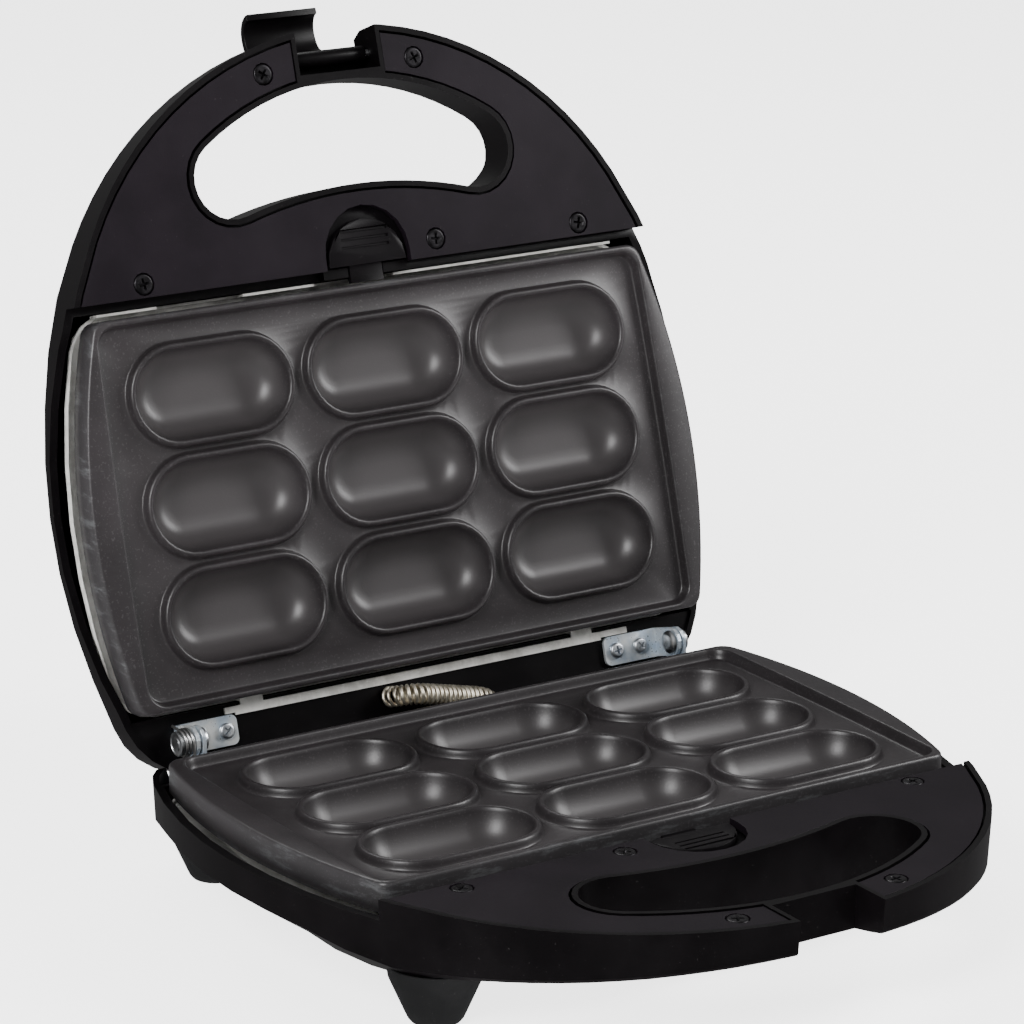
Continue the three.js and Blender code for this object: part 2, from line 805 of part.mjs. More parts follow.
// Lower casing: sunk rear shelf for the hinge, foot bosses, hole for the mains lead
function buildBaseHousing() {
  const far = fit.overrun;
  const side = halfWidth + far;
  const half = buildHalf(baseShell);
  const rearDrop = sidePrism(
    [
      new THREE.Vector2(hingeY + trough.dropStart, far),
      new THREE.Vector2(hingeY + trough.dropStart, casing.sideTop),
      new THREE.Vector2(hingeY + trough.dropEnd, trough.rearTop),
      new THREE.Vector2(rearEdge + far, trough.rearTop),
      new THREE.Vector2(rearEdge + far, far),
    ],
    -side,
    side,
  );
  const troughFloor = hingeZ - hinge.floorBelow;
  const wallRear = bayRear + trough.wall;
  const inner = prism(casingOutline(casing.wall), -far, far);
  const shelf = common(inner, box(-side, side, wallRear, rearEdge, troughFloor, far));
  const wallBand = box(-side, side, bayRear - fit.seat, wallRear + fit.seat, trough.wallTop, far);
  const wallLow = common(inner, wallBand);
  const under = common(
    casingBlock(baseShell, casing.wall),
    box(-side, side, bayRear - fit.seat, rearEdge, -far, troughFloor - trough.shelf),
  );
  const outer = prism(casingOutline(casing.draft), -far, far);
  const bosses = footPlaces.map(({ x, y }) =>
    common(outer, upright(foot.topRadius, x, y, baseShell.bottom, baseShell.bottom + foot.boss)),
  );
  const lead = lengthwise(gland.body + fit.seat, rearEdge - far, rearEdge + far, glandX, gland.z);
  const leadInside = rearEdge - casing.wall - gland.inside - fit.run;
  const leadHole = common(lead, box(-side, side, leadInside, rearEdge + far, -far, far));
  const holeBottom = troughFloor - trough.shelf - fit.seat;
  const shankHoles = bracketScrewPlaces.map(({ x, y }) =>
    upright(screw.shankRadius + fit.seat, x, y, holeBottom, far),
  );
  const wireY = hingeY + (conduit.coilRadius + conduit.wire / 2) / 2;
  const wireHole = upright(conduit.coilRadius, conduit.baseX, wireY, holeBottom, far);
  const cuts = [rearDrop, shelf, wallLow, under, leadHole, wireHole, ...shankHoles];
  return cut(join(half, ...bosses), ...cuts);
}

// Upper casing: deck that carries the hinge leaves, rear skirt, latch pin holes, lens holes
function buildLidHousing() {
  const far = fit.overrun;
  const side = halfWidth + far;
  const half = buildHalf(lidShell);
  const inner = prism(casingOutline(casing.wall), -far, far);
  const sunk = common(inner, box(-side, side, bayRear - fit.seat, rearEdge, deck.depth, far));
  const under = common(
    casingBlock(lidShell, casing.wall),
    box(-side, side, bayRear - fit.seat, rearEdge, -far, deck.depth - deck.thickness),
  );
  const skirtTop = casing.closedGap - hingeZ - deck.skirtAbove;
  const skirt = cut(
    box(-skirtHalf, skirtHalf, rearEdge - deck.skirtWall, rearEdge, deck.depth, skirtTop),
    box(-conduitWindow.right, -conduitWindow.left, -far, rearEdge + far, casing.sideTop, far),
  );
  const reach = notch.halfWidth + latch.pinPast + fit.seat;
  const pinHole = crosswise(latch.boreRadius, -reach, reach, latchY, casing.closedGap - latch.height);
  const lensTop = lidShell.bottom + lidShell.floor;
  const lensHoles = [-1, 1].map((way) =>
    upright(lens.radius + fit.seat, way * lens.x, lens.y, lidShell.bottom - far, lensTop + fit.run),
  );
  const shankHoles = leafScrewPlaces.map(({ x, y }) =>
    upright(screw.shankRadius + fit.seat, -x, y, deck.depth - deck.thickness - fit.seat, far),
  );
  const deckUnder = deck.depth - deck.thickness - fit.run;
  const wireHole = upright(conduit.coilRadius, -conduit.lidX, hingeY, deckUnder, far);
  return cut(join(cut(half, sunk, under), skirt), pinHole, wireHole, ...lensHoles, ...shankHoles);
}

// Bright sheet tray under a plate, with lips in front and a strip on two tabs at the hinge side
function buildReflector() {
  const front = -(plateFront + reflector.frontGap);
  const rear = plateRear + reflector.rearGap;
  const centreX = plateHalfWidth - plate.sideRadius;
  const centreY = plate.widestShift;
  const quarter = Math.PI / 2;
  const outline = (inset) => {
    const corner = reflector.cornerRadius;
    const side = plate.sideRadius + reflector.sideGap - inset;
    const cornerAt = (y) => centreX + Math.sqrt((side - corner) ** 2 - (y - centreY) ** 2);
    const low = front + inset + corner;
    const high = rear - inset - corner;
    const lowTurn = Math.atan2(low - centreY, cornerAt(low) - centreX);
    const highTurn = Math.atan2(high - centreY, cornerAt(high) - centreX);
    return mirrored([
      ...arc(cornerAt(low), low, corner, -quarter, lowTurn, steps.corner, false),
      ...arc(centreX, centreY, side, lowTurn, highTurn, steps.flank, false),
      ...arc(cornerAt(high), high, corner, highTurn, quarter, steps.corner),
    ]);
  };
  const sheet = reflector.sheet;
  const floorUnder = reflector.floorTop - sheet;
  const bendZ = reflector.brim - reflector.straight;
  const outer = loft([
    level(outline(reflector.floorInset), floorUnder),
    level(outline(0), bendZ),
    level(outline(0), reflector.brim),
  ]);
  const inner = loft([
    level(outline(reflector.floorInset + sheet), reflector.floorTop),
    level(outline(sheet), bendZ),
    level(outline(sheet), reflector.brim),
    level(outline(sheet), fit.overrun),
  ]);
  const lipLow = reflector.brim - reflector.straight / 2;
  const lips = reflector.lips.map(({ from, to }) =>
    box(from, to, front, front + sheet, lipLow, reflector.lipTop),
  );
  const stripLow = reflector.stripTop - sheet;
  const start = plateRear + reflector.stripStart;
  const end = start + reflector.stripWide;
  const past = leafInner + reflector.stripPast;
  const farEnd = -(leafInner + reflector.stripFar);
  const strip = box(farEnd, past, start, start + reflector.stripNarrow, stripLow, reflector.stripTop);
  const wide = box(-leafInner + fit.run, leafInner - fit.run, start, end, stripLow, reflector.stripTop);
  const tabs = [-(leafInner - reflector.tabInner.left), leafInner - reflector.tabInner.right].flatMap((x) => [
    box(x, x + reflector.tabWidth, rear - sheet, rear, lipLow, reflector.stripTop),
    box(x, x + reflector.tabWidth, rear - sheet, start + fit.seat, stripLow, reflector.stripTop),
  ]);
  const holes = [-1, 1].map((way) =>
    upright(heater.hole, -heaterX, way * heaterY, -fit.overrun, fit.overrun),
  );
  return cut(join(cut(outer, inner), ...lips, strip, wide, ...tabs), ...holes);
}

// Heating tube: a U with both ends turned down through the reflector
function buildHeater() {
  const z = reflector.floorTop + fit.touch + heater.radius;
  const low = z - heater.radius - heater.drop;
  const bend = heater.bend;
  const turn = heater.turn;
  const path = new THREE.CurvePath();
  const at = (x, y, height) => new THREE.Vector3(x, y, height);
  const left = -heaterX;
  const right = heaterX - bend;
  const y = heaterY;
  const line = (a, b) => path.add(new THREE.LineCurve3(a, b));
  const round = (a, b, c) => path.add(new THREE.QuadraticBezierCurve3(a, b, c));
  line(at(left, -y, low), at(left, -y, z - turn));
  round(at(left, -y, z - turn), at(left, -y, z), at(left + turn, -y, z));
  line(at(left + turn, -y, z), at(right, -y, z));
  round(at(right, -y, z), at(heaterX, -y, z), at(heaterX, -y + bend, z));
  line(at(heaterX, -y + bend, z), at(heaterX, y - bend, z));
  round(at(heaterX, y - bend, z), at(heaterX, y, z), at(right, y, z));
  line(at(right, y, z), at(left + turn, y, z));
  round(at(left + turn, y, z), at(left, y, z), at(left, y, z - turn));
  line(at(left, y, z - turn), at(left, y, low));
  return sweep(path, heater.radius, Math.round(path.getLength() / heater.ringPitch), steps.rod);
}

// A round tube along a path, with flat ends
function sweep(path, radius, count, sides) {
  const centres = [];
  for (let i = 0; i <= count; i += 1) {
    centres.push(path.getPointAt(i / count));
  }
  return tube(centres, radius, sides);
}

// A closed tube through points, its section carried along without twist
function tube(centres, radius, sides) {
  const last = centres.length - 1;
  const tangents = centres.map((_, i) =>
    centres[Math.min(i + 1, last)].clone().sub(centres[Math.max(i - 1, 0)]).normalize(),
  );
  let across = new THREE.Vector3(1, 0, 0).cross(tangents[0]);
  if (across.length() < 0.5) {
    across = new THREE.Vector3(0, 1, 0).cross(tangents[0]);
  }
  const rings = tangents.map((tangent, i) => {
    across.addScaledVector(tangent, -across.dot(tangent)).normalize();
    const second = tangent.clone().cross(across);
    const ring = [];
    for (let side = 0; side < sides; side += 1) {
      const angle = (2 * Math.PI * side) / sides;
      const point = centres[i].clone();
      point.addScaledVector(across, radius * Math.cos(angle));
      ring.push(point.addScaledVector(second, radius * Math.sin(angle)));
    }
    return ring;
  });
  return tubeSkin(rings, centres);
}

// Joins the rings of a tube and closes its two ends on their centres
function tubeSkin(rings, centres) {
  const sides = rings[0].length;
  const points = [...rings.flat(), centres[0], centres.at(-1)];
  const index = [];
  for (let ring = 0; ring + 1 < rings.length; ring += 1) {
    for (let side = 0; side < sides; side += 1) {
      const next = (side + 1) % sides;
      const low = ring * sides;
      const high = low + sides;
      index.push(low + side, low + next, high + next);
      index.push(low + side, high + next, high + side);
    }
  }
  const start = rings.length * sides;
  const end = start - sides;
  for (let side = 0; side < sides; side += 1) {
    const next = (side + 1) % sides;
    index.push(start, next, side);
    index.push(start + 1, end + side, end + next);
  }
  const geometry = new THREE.BufferGeometry();
  const flat = points.flatMap((point) => [point.x, point.y, point.z]);
  geometry.setAttribute("position", new THREE.Float32BufferAttribute(flat, 3));
  geometry.setIndex(index);
  return geometry;
}

// Points of a coil round a path, with straight leads along the path at both ends
function coilPoints(path, radius, pitch, lead) {
  const length = path.getLength();
  const turns = Math.round((length - 2 * lead) / pitch);
  const count = turns * curl.steps;
  const points = [];
  let across = new THREE.Vector3(1, 0, 0);
  for (let i = 0; i <= count; i += 1) {
    const along = lead + ((length - 2 * lead) * i) / count;
    const tangent = path.getTangentAt(along / length);
    across.addScaledVector(tangent, -across.dot(tangent)).normalize();
    const second = tangent.clone().cross(across);
    const angle = (2 * Math.PI * i) / curl.steps;
    const point = path.getPointAt(along / length);
    point.addScaledVector(across, radius * Math.cos(angle));
    points.push(point.addScaledVector(second, radius * Math.sin(angle)));
  }
  return points;
}

// Least gap of a wound wire to itself, between points more than half a turn apart
function leastGap(points, wire) {
  let least = Infinity;
  const apart = Math.ceil(curl.steps / 2);
  points.forEach((point, i) => {
    points.slice(i + apart).forEach((other, k) => {
      const next = points[Math.min(i + apart + k + 1, points.length - 1)];
      const line = new THREE.Line3(other, next);
      const closest = line.closestPointToPoint(point, true, new THREE.Vector3());
      least = Math.min(least, closest.distanceTo(point) - wire);
    });
  });
  return least;
}

// Coiled metal sleeve of the wires, from the lid's deck down to the base's shelf
function buildConduit() {
  const cosine = Math.cos(hinge.openAngle);
  const sine = Math.sin(hinge.openAngle);
  const outer = conduit.coilRadius + conduit.wire / 2;
  const deckBelow = casing.closedGap - deck.depth - hingeZ;
  const reach = Math.sqrt(deckBelow ** 2 - outer ** 2) - fit.seat / 2;
  const bend = conduit.bend;
  const pull = bend * bendShare;
  const deckEnd = new THREE.Vector3(conduit.lidX, reach * sine, reach * cosine);
  const fromDeck = new THREE.Vector3(0, -sine, -cosine);
  const high = new THREE.Vector3(conduit.lidX + bend, outer / 2, -conduit.wire);
  const low = new THREE.Vector3(conduit.baseX - bend, outer / 2, -2 * outer + conduit.wire);
  const run = low.clone().sub(high).normalize();
  const foot = new THREE.Vector3(conduit.baseX, outer / 2, -hinge.floorBelow + fit.seat);
  const up = new THREE.Vector3(0, 0, 1);
  const path = new THREE.CurvePath();
  const step = (from, direction, length) => from.clone().addScaledVector(direction, length);
  path.add(new THREE.CubicBezierCurve3(deckEnd, step(deckEnd, fromDeck, pull), step(high, run, -pull), high));
  path.add(new THREE.LineCurve3(high, low));
  path.add(new THREE.CubicBezierCurve3(low, step(low, run, pull), step(foot, up, pull), foot));
  const points = coilPoints(path, conduit.coilRadius, conduit.pitch, conduit.wire / 2);
  console.log("conduit: least gap to itself", leastGap(points, conduit.wire).toFixed(2), "mm");
  return tube(points, conduit.wire / 2, curl.sides);
}

// Torsion spring on the left pin: one leg down to the shelf, a short tail at the top
function buildTorsionSpring() {
  const radius = sleeveRadius + fit.seat + torsion.wire / 2;
  const start = -earOuter - torsion.firstGap - torsion.wire / 2;
  const low = -hinge.floorBelow + fit.seat;
  const points = [new THREE.Vector3(start, -radius, low), new THREE.Vector3(start, -radius, low / 2)];
  const count = Math.round(torsion.turns * curl.steps);
  for (let i = 0; i <= count; i += 1) {
    const angle = Math.PI - (2 * Math.PI * i) / curl.steps;
    const x = start - (torsion.pitch * i) / curl.steps;
    points.push(new THREE.Vector3(x, radius * Math.cos(angle), radius * Math.sin(angle)));
  }
  const end = points.at(-1).clone();
  points.push(end.add(new THREE.Vector3(0, torsion.tail, 0)));
  console.log("torsion spring: least gap to itself", leastGap(points, torsion.wire).toFixed(2), "mm");
  return tube(points, torsion.wire / 2, curl.sides);
}

// Hinge sheet metal, in the hinge's own frame: an ear round the pin and a flange with screws
function ear(x0, x1, foot) {
  const radius = hinge.earRadius;
  const plateEar = box(x0, x1, -radius, radius, Math.min(foot, 0), Math.max(foot, 0));
  const eye = crosswise(radius, x0, x1, 0, 0);
  return cut(join(plateEar, eye), crosswise(hinge.boreRadius, x0 - fit.run, x1 + fit.run, 0, 0));
}

function hingeSheet(earInner, earOuter, flangeInner, foot, screwXs) {
  const radius = hinge.earRadius;
  const low = foot > 0 ? foot - hinge.sheet : foot;
  const flange = box(flangeInner, earOuter, -radius, radius, low, low + hinge.sheet);
  const holes = screwXs.map((x) =>
    upright(screw.shankRadius + fit.seat, x, 0, low - fit.run, low + hinge.sheet + fit.run),
  );
  return cut(join(ear(earInner, earOuter, foot), flange), ...holes);
}

// Release button: a D-shaped top on a wider flange, a tongue towards the plate and a spring boss
function buildButton() {
  const far = fit.overrun;
  const stepZ = button.top - button.step;
  const raised = prism(dOutline(buttonHalf, buttonFront + buttonHalf, buttonFlat), buttonBottom, button.top);
  const flangeRadius = button.recessRadius + button.lap;
  const flange = prism(dOutline(flangeRadius, recessCentre, buttonFlat), buttonBottom, stepZ);
  const tongueEnd = -(plateFront + fit.run);
  const tongueTop = buttonBottom + button.tongueThickness;
  const half = button.tongueHalf;
  const tongue = box(-half, half, buttonFlat - button.tongueHalf, tongueEnd, buttonBottom, tongueTop);
  const bossLow = buttonBottom - button.bossDepth;
  const bossFront = buttonFlat - button.bossLength;
  const bossHalf = button.bossHalf;
  const boss = box(-bossHalf, bossHalf, bossFront, buttonFlat, bossLow, buttonBottom + fit.seat);
  const pocketEnd = springEnd + button.travel + fit.seat;
  const pocket = lengthwise(button.springHousing, buttonFront - far, pocketEnd, 0, springZ);
  const gripHalf = buttonHalf * button.gripHalfShare;
  const lines = [];
  for (let i = 0; i < button.gripLines; i += 1) {
    const y = buttonFlat - button.gripStart - i * button.gripPitch;
    const deep = button.top - button.gripDepth;
    lines.push(box(-gripHalf, gripHalf, y - button.gripWidth, y, deep, far));
  }
  return cut(join(raised, flange, tongue, boss), pocket, ...lines);
}

function buildButtonSpring() {
  return lengthwise(button.springRadius, springStart, springEnd, 0, springZ, steps.few);
}

// Latch, closed, from its pivot: knuckle, leaning stem and a hook that curls under the base handle
function buildLatch() {
  const inner = latch.hookRadius;
  const outer = inner + latch.thickness;
  const centre = { y: latch.lean + outer, z: -latch.stem };
  const curve = (radius, depth) =>
    arc(centre.y, 0, radius, Math.PI, Math.PI + latch.hookSweep, steps.hook).map(
      (point) => new THREE.Vector2(point.x, centre.z + point.y * (depth / radius)),
    );
  const outline = [
    new THREE.Vector2(0, 0),
    ...curve(outer, latch.hookDepth),
    ...curve(inner, latch.hookDepth - latch.thickness).reverse(),
    new THREE.Vector2(latch.thickness, 0),
  ];
  const knuckle = crosswise(latch.knuckleRadius, -latchHalf, latchHalf, 0, 0);
  const bore = crosswise(latch.boreRadius, -latchHalf - fit.run, latchHalf + fit.run, 0, 0);
  return cut(join(sidePrism(outline, -latchHalf, latchHalf), knuckle), bore);
}

function buildLatchPin() {
  const half = notch.halfWidth + latch.pinPast;
  return crosswise(latch.pinRadius, -half, half, 0, 0, steps.round);
}

// Cross-head screw, its head's top at zero and its shank downwards
function buildScrew(headRadius) {
  const head = upright(headRadius, 0, 0, -screw.headHeight, 0, steps.round);
  const shank = upright(screw.shankRadius, 0, 0, -screw.reach, -screw.headHeight + fit.seat, steps.rod);
  const w = screw.slotWidth / 2;
  const l = screw.slotLength / 2;
  const slots = [
    box(-w, w, -l, l, -screw.slotDepth, screw.reach),
    box(-l, l, -w, w, -screw.slotDepth, screw.reach),
  ];
  return cut(join(head, shank), ...slots);
}

// Hinge leaf of the lid: flange under the deck, ear down to the pin
function buildLeaf() {
  return hingeSheet(earOuter - hinge.sheet, earOuter, leafInner, hinge.leafTop, leafScrewXs);
}

// Hinge bracket of the base, from its ear's inner face
function buildBracket(earInner) {
  const foot = -hinge.floorBelow + fit.seat;
  return hingeSheet(earInner, earInner + hinge.sheet, bracketInner, foot, bracketScrewXs);
}

const rightEar = earOuter + hinge.outerGap;
const leftEar = earOuter - 2 * hinge.sheet - hinge.earGap;
const springStretch = torsion.turns * torsion.pitch + torsion.wire + torsion.firstGap;

function buildLeftPin() {
  const headEnd = -(leftEar - fit.seat);
  const head = crosswise(hinge.headRadius, headEnd, headEnd + hinge.headHeight, 0, 0);
  const sleeveStart = -(earOuter + fit.seat);
  const sleeveEnd = -(earOuter + springStretch + fit.seat);
  const shank = crosswise(hinge.pinRadius, sleeveStart - fit.seat, headEnd + fit.seat, 0, 0);
  const sleeve = crosswise(sleeveRadius, sleeveEnd - fit.seat, sleeveStart, 0, 0);
  const washer = crosswise(hinge.headRadius, sleeveEnd - torsion.washer, sleeveEnd, 0, 0);
  return join(head, shank, sleeve, washer);
}

function buildRightPin() {
  const headEnd = earOuter - hinge.sheet - fit.seat;
  const tailStart = rightEar + hinge.sheet + fit.seat;
  const head = crosswise(hinge.headRadius, headEnd - hinge.headHeight, headEnd, 0, 0);
  const shank = crosswise(hinge.pinRadius, headEnd - fit.seat, tailStart + fit.seat, 0, 0);
  const tail = crosswise(hinge.headRadius, tailStart, tailStart + hinge.sheet, 0, 0);
  return join(head, shank, tail);
}

function buildFoot() {
  const top = baseShell.bottom - fit.seat;
  return upright(foot.bottomRadius, 0, 0, top - foot.height, top, steps.round, foot.topRadius);
}

// Small parts inside the base
function buildThermostat() {
  const floorTop = baseShell.bottom + baseShell.floor + fit.seat;
  const under = reflector.floorTop - reflector.sheet - fit.seat;
  return upright(thermostat.radius, 0, 0, floorTop, under);
}

function buildFuse() {
  const z = baseShell.bottom + baseShell.floor + fit.seat + fuse.radius;
  return crosswise(fuse.radius, fuse.x - fuse.length / 2, fuse.x + fuse.length / 2, 0, z, steps.few);
}

function buildBlock() {
  const low = baseShell.bottom + baseShell.floor + fit.seat;
  const high = hingeZ - hinge.floorBelow - trough.shelf - fit.seat;
  const body = box(-block.length / 2, block.length / 2, -block.depth / 2, block.depth / 2, low, high);
  const ways = [];
  for (let i = 0; i < block.ways; i += 1) {
    const x = ((i + 0.5) / block.ways - 0.5) * block.length;
    ways.push(lengthwise(block.wireRadius, -block.depth, block.depth, x, (low + high) / 2, steps.few));
  }
  return cut(body, ...ways);
}

function buildGland() {
  const outside = rearEdge + fit.seat;
  const flange = lengthwise(gland.flange, outside, outside + gland.flangeDepth, 0, 0);
  const inside = rearEdge - casing.wall - gland.inside;
  const body = lengthwise(gland.body, inside, outside + fit.seat, 0, 0);
  const bore = lengthwise(gland.bore, inside - fit.run, outside + gland.flangeDepth + fit.run, 0, 0);
  return cut(join(flange, body), bore);
}

function buildLens() {
  const outside = lidShell.bottom - fit.seat;
  const inside = lidShell.bottom + lidShell.floor + fit.seat;
  const rim = upright(lens.rim, 0, 0, outside - lens.rimHeight, outside);
  return join(rim, upright(lens.radius, 0, 0, outside - fit.seat, inside));
}

// Colour, roughness and metalness of each finish
const finishes = {
  shell: { color: 0x141416, roughness: 0.42, metalness: 0 },
  cover: { color: 0x2c2a2f, roughness: 0.55, metalness: 0 },
  nonstick: { color: 0x35363a, roughness: 0.5, metalness: 0.1 },
  bright: { color: 0xd4d7da, roughness: 0.28, metalness: 1 },
  zinc: { color: 0x9fb0c8, roughness: 0.35, metalness: 1 },
  steel: { color: 0xb9bcc0, roughness: 0.35, metalness: 1 },
  tube: { color: 0x5b5d5c, roughness: 0.6, metalness: 0.7 },
  sleeve: { color: 0xc9c3b2, roughness: 0.4, metalness: 1 },
  rubber: { color: 0x101011, roughness: 0.8, metalness: 0 },
  ceramic: { color: 0xe8e4da, roughness: 0.6, metalness: 0 },
  redLens: { color: 0xa01812, roughness: 0.2, metalness: 0 },
  greenLens: { color: 0x1c8a3a, roughness: 0.2, metalness: 0 },
};

// Adds one named piece to a group
function add(group, name, shape, finish, x = 0, y = 0, z = 0) {
  const mesh = new THREE.Mesh(asGeometry(shape), new THREE.MeshStandardMaterial(finish));
  mesh.name = name;
  mesh.position.set(x, y, z);
  group.add(mesh);
  return mesh;
}

// What both halves share, in the frame of a half
function addHalf(group, prefix, housing) {
  add(group, prefix + "_housing", housing, finishes.shell);
  add(group, prefix + "_handle_cover", buildCover(), finishes.cover);
  screwPlaces.forEach(({ x, y }, i) => {
    const name = prefix + "_cover_screw_" + (i + 1);
    add(group, name, buildScrew(screw.headRadius), finishes.steel, x, y, cover.top);
  });
  add(group, prefix + "_reflector", buildReflector(), finishes.bright);
  add(group, prefix + "_heater", buildHeater(), finishes.tube);
  add(group, prefix + "_plate", buildPlate(), finishes.nonstick);
  add(group, prefix + "_release_button", buildButton(), finishes.shell);
  add(group, prefix + "_release_spring", buildButtonSpring(), finishes.steel);
}

const model = new THREE.Group();
const base = new THREE.Group();
model.add(base);
addHalf(base, "base", buildBaseHousing());
footPlaces.forEach(({ name, x, y }) => add(base, name, buildFoot(), finishes.rubber, x, y));
add(base, "thermostat", buildThermostat(), finishes.steel);
add(base, "thermal_fuse", buildFuse(), finishes.steel);
add(base, "terminal_block", buildBlock(), finishes.ceramic, blockX, plateRear + block.fromPlate);
add(base, "cord_gland", buildGland(), finishes.rubber, glandX, 0, gland.z);

// Hinge line on the base
const axle = new THREE.Group();
axle.position.set(0, hingeY, hingeZ);
base.add(axle);
add(axle, "hinge_bracket_right", buildBracket(rightEar), finishes.zinc);
add(axle, "hinge_bracket_left", buildBracket(leftEar), finishes.zinc).rotation.z = Math.PI;
add(axle, "hinge_pin_left", buildLeftPin(), finishes.steel);
add(axle, "hinge_pin_right", buildRightPin(), finishes.steel);
add(axle, "torsion_spring", buildTorsionSpring(), finishes.steel);
add(axle, "wire_conduit", buildConduit(), finishes.sleeve);
const bracketHead = -hinge.floorBelow + 2 * fit.seat + hinge.sheet + screw.headHeight;
bracketScrewPlaces.forEach(({ x }, i) => {
  add(axle, "bracket_screw_" + (i + 1), buildScrew(hinge.screwRadius), finishes.steel, x, 0, bracketHead);
});

// The lid turns about the hinge line; its half is a base half turned over
const lidSwing = new THREE.Group();
lidSwing.position.set(0, hingeY, hingeZ);
lidSwing.rotation.x = -hinge.openAngle;
model.add(lidSwing);
const lid = new THREE.Group();
lid.position.set(0, -hingeY, casing.closedGap - hingeZ);
lid.rotation.y = Math.PI;
lidSwing.add(lid);
addHalf(lid, "lid", buildLidHousing());
add(lid, "indicator_lens_power", buildLens(), finishes.redLens, lens.x, lens.y);
add(lid, "indicator_lens_ready", buildLens(), finishes.greenLens, -lens.x, lens.y);
add(lidSwing, "hinge_leaf_right", buildLeaf(), finishes.zinc);
add(lidSwing, "hinge_leaf_left", buildLeaf(), finishes.zinc).rotation.z = Math.PI;
const leafHead = hinge.leafTop - hinge.sheet - fit.seat - screw.headHeight;
leafScrewPlaces.forEach(({ x }, i) => {
  const name = "leaf_screw_" + (i + 1);
  add(lidSwing, name, buildScrew(hinge.screwRadius), finishes.steel, x, 0, leafHead).rotation.x = Math.PI;
});
const pivot = new THREE.Group();
pivot.position.set(0, latchY - hingeY, latch.height - hingeZ);
lidSwing.add(pivot);
add(pivot, "latch_pin", buildLatchPin(), finishes.steel);
const latchSwing = new THREE.Group();
latchSwing.rotation.x = -Math.PI;
pivot.add(latchSwing);
add(latchSwing, "latch", buildLatch(), finishes.shell);

// The origin lies under the middle of the whole, on the surface it stands on
const bounds = new THREE.Box3().setFromObject(model, true);
const middle = bounds.getCenter(new THREE.Vector3());
model.position.set(-middle.x, -middle.y, -bounds.min.z);
console.log("origin moved by", model.position.toArray().map((value) => value.toFixed(3)).join(" "));

const waffleMaker = new THREE.Group();
waffleMaker.add(model);
export default waffleMaker;
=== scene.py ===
import bpy, bmesh, math, json, random
from mathutils import Vector, Matrix, Euler


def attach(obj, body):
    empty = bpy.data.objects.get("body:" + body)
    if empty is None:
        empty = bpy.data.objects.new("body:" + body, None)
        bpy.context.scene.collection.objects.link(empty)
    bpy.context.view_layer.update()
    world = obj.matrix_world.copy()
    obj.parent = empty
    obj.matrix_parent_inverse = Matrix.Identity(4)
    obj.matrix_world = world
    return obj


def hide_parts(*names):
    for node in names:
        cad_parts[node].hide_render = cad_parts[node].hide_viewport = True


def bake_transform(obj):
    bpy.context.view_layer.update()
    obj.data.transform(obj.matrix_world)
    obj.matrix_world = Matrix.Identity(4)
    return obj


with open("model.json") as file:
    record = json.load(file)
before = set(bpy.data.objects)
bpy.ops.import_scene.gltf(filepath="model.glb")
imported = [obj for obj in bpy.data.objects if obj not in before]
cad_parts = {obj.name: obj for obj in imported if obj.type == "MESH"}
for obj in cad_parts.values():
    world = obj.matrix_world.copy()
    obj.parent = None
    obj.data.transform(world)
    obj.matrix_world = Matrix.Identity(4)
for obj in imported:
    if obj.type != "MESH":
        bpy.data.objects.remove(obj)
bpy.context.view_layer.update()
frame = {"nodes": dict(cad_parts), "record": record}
cadNodes = frame["nodes"]
slotOf = {row["node"]: row["material_slot"] for row in frame["record"]["subparts"]}
bodyOf = {node: body for body, members in frame["record"]["behaviour"]["bodies"].items() for node in members}
random.seed(7)
print("frame loaded:", len(cadNodes), "nodes")

# Where the two halves lie: every new piece is drawn in millimetres and then placed
layout = {"shiftY": -15.439, "shiftZ": 43.0, "hingeY": 71.8, "hingeZ": 1.0, "openAngle": 106.415,
          "closedGap": 2.9, "latchY": -134.4, "latchZ": 11.5, "mm": 0.001}
openAngle = math.radians(layout["openAngle"])
baseFrame = Matrix.Scale(layout["mm"], 4) @ Matrix.Translation((0, layout["shiftY"], layout["shiftZ"]))
hingeFrame = baseFrame @ Matrix.Translation((0, layout["hingeY"], layout["hingeZ"]))
swing = hingeFrame @ Matrix.Rotation(-openAngle, 4, "X")  # the lid's side of the hinge
lidFrame = (swing @ Matrix.Translation((0, -layout["hingeY"], layout["closedGap"] - layout["hingeZ"]))
            @ Matrix.Rotation(math.pi, 4, "Y"))
leafFrame = swing @ Matrix.Rotation(math.pi, 4, "Y")
latchFrame = (swing @ Matrix.Translation((0, layout["latchY"] - layout["hingeY"], layout["latchZ"] - layout["hingeZ"]))
              @ Matrix.Rotation(math.pi, 4, "X"))


def addObject(name, data):
    made = bpy.data.objects.new(name, data)
    bpy.context.scene.collection.objects.link(made)
    return made


# The camera, fitted to the photograph
view = {"lens": 146.316, "filmWidth": 36, "nearest": 0.05, "farthest": 20,
        "place": (-0.665623, -1.020946, 0.486163), "turn": (73.19383, -0.13945, -32.70264)}
photoCamera = bpy.data.cameras.new("photoCamera")
photoCamera.lens, photoCamera.sensor_width = view["lens"], view["filmWidth"]
photoCamera.clip_start, photoCamera.clip_end = view["nearest"], view["farthest"]
cameraObject = addObject("photoCamera", photoCamera)
cameraObject.location = view["place"]
cameraObject.rotation_euler = Euler([math.radians(turn) for turn in view["turn"]], "XYZ")
bpy.context.scene.camera = cameraObject

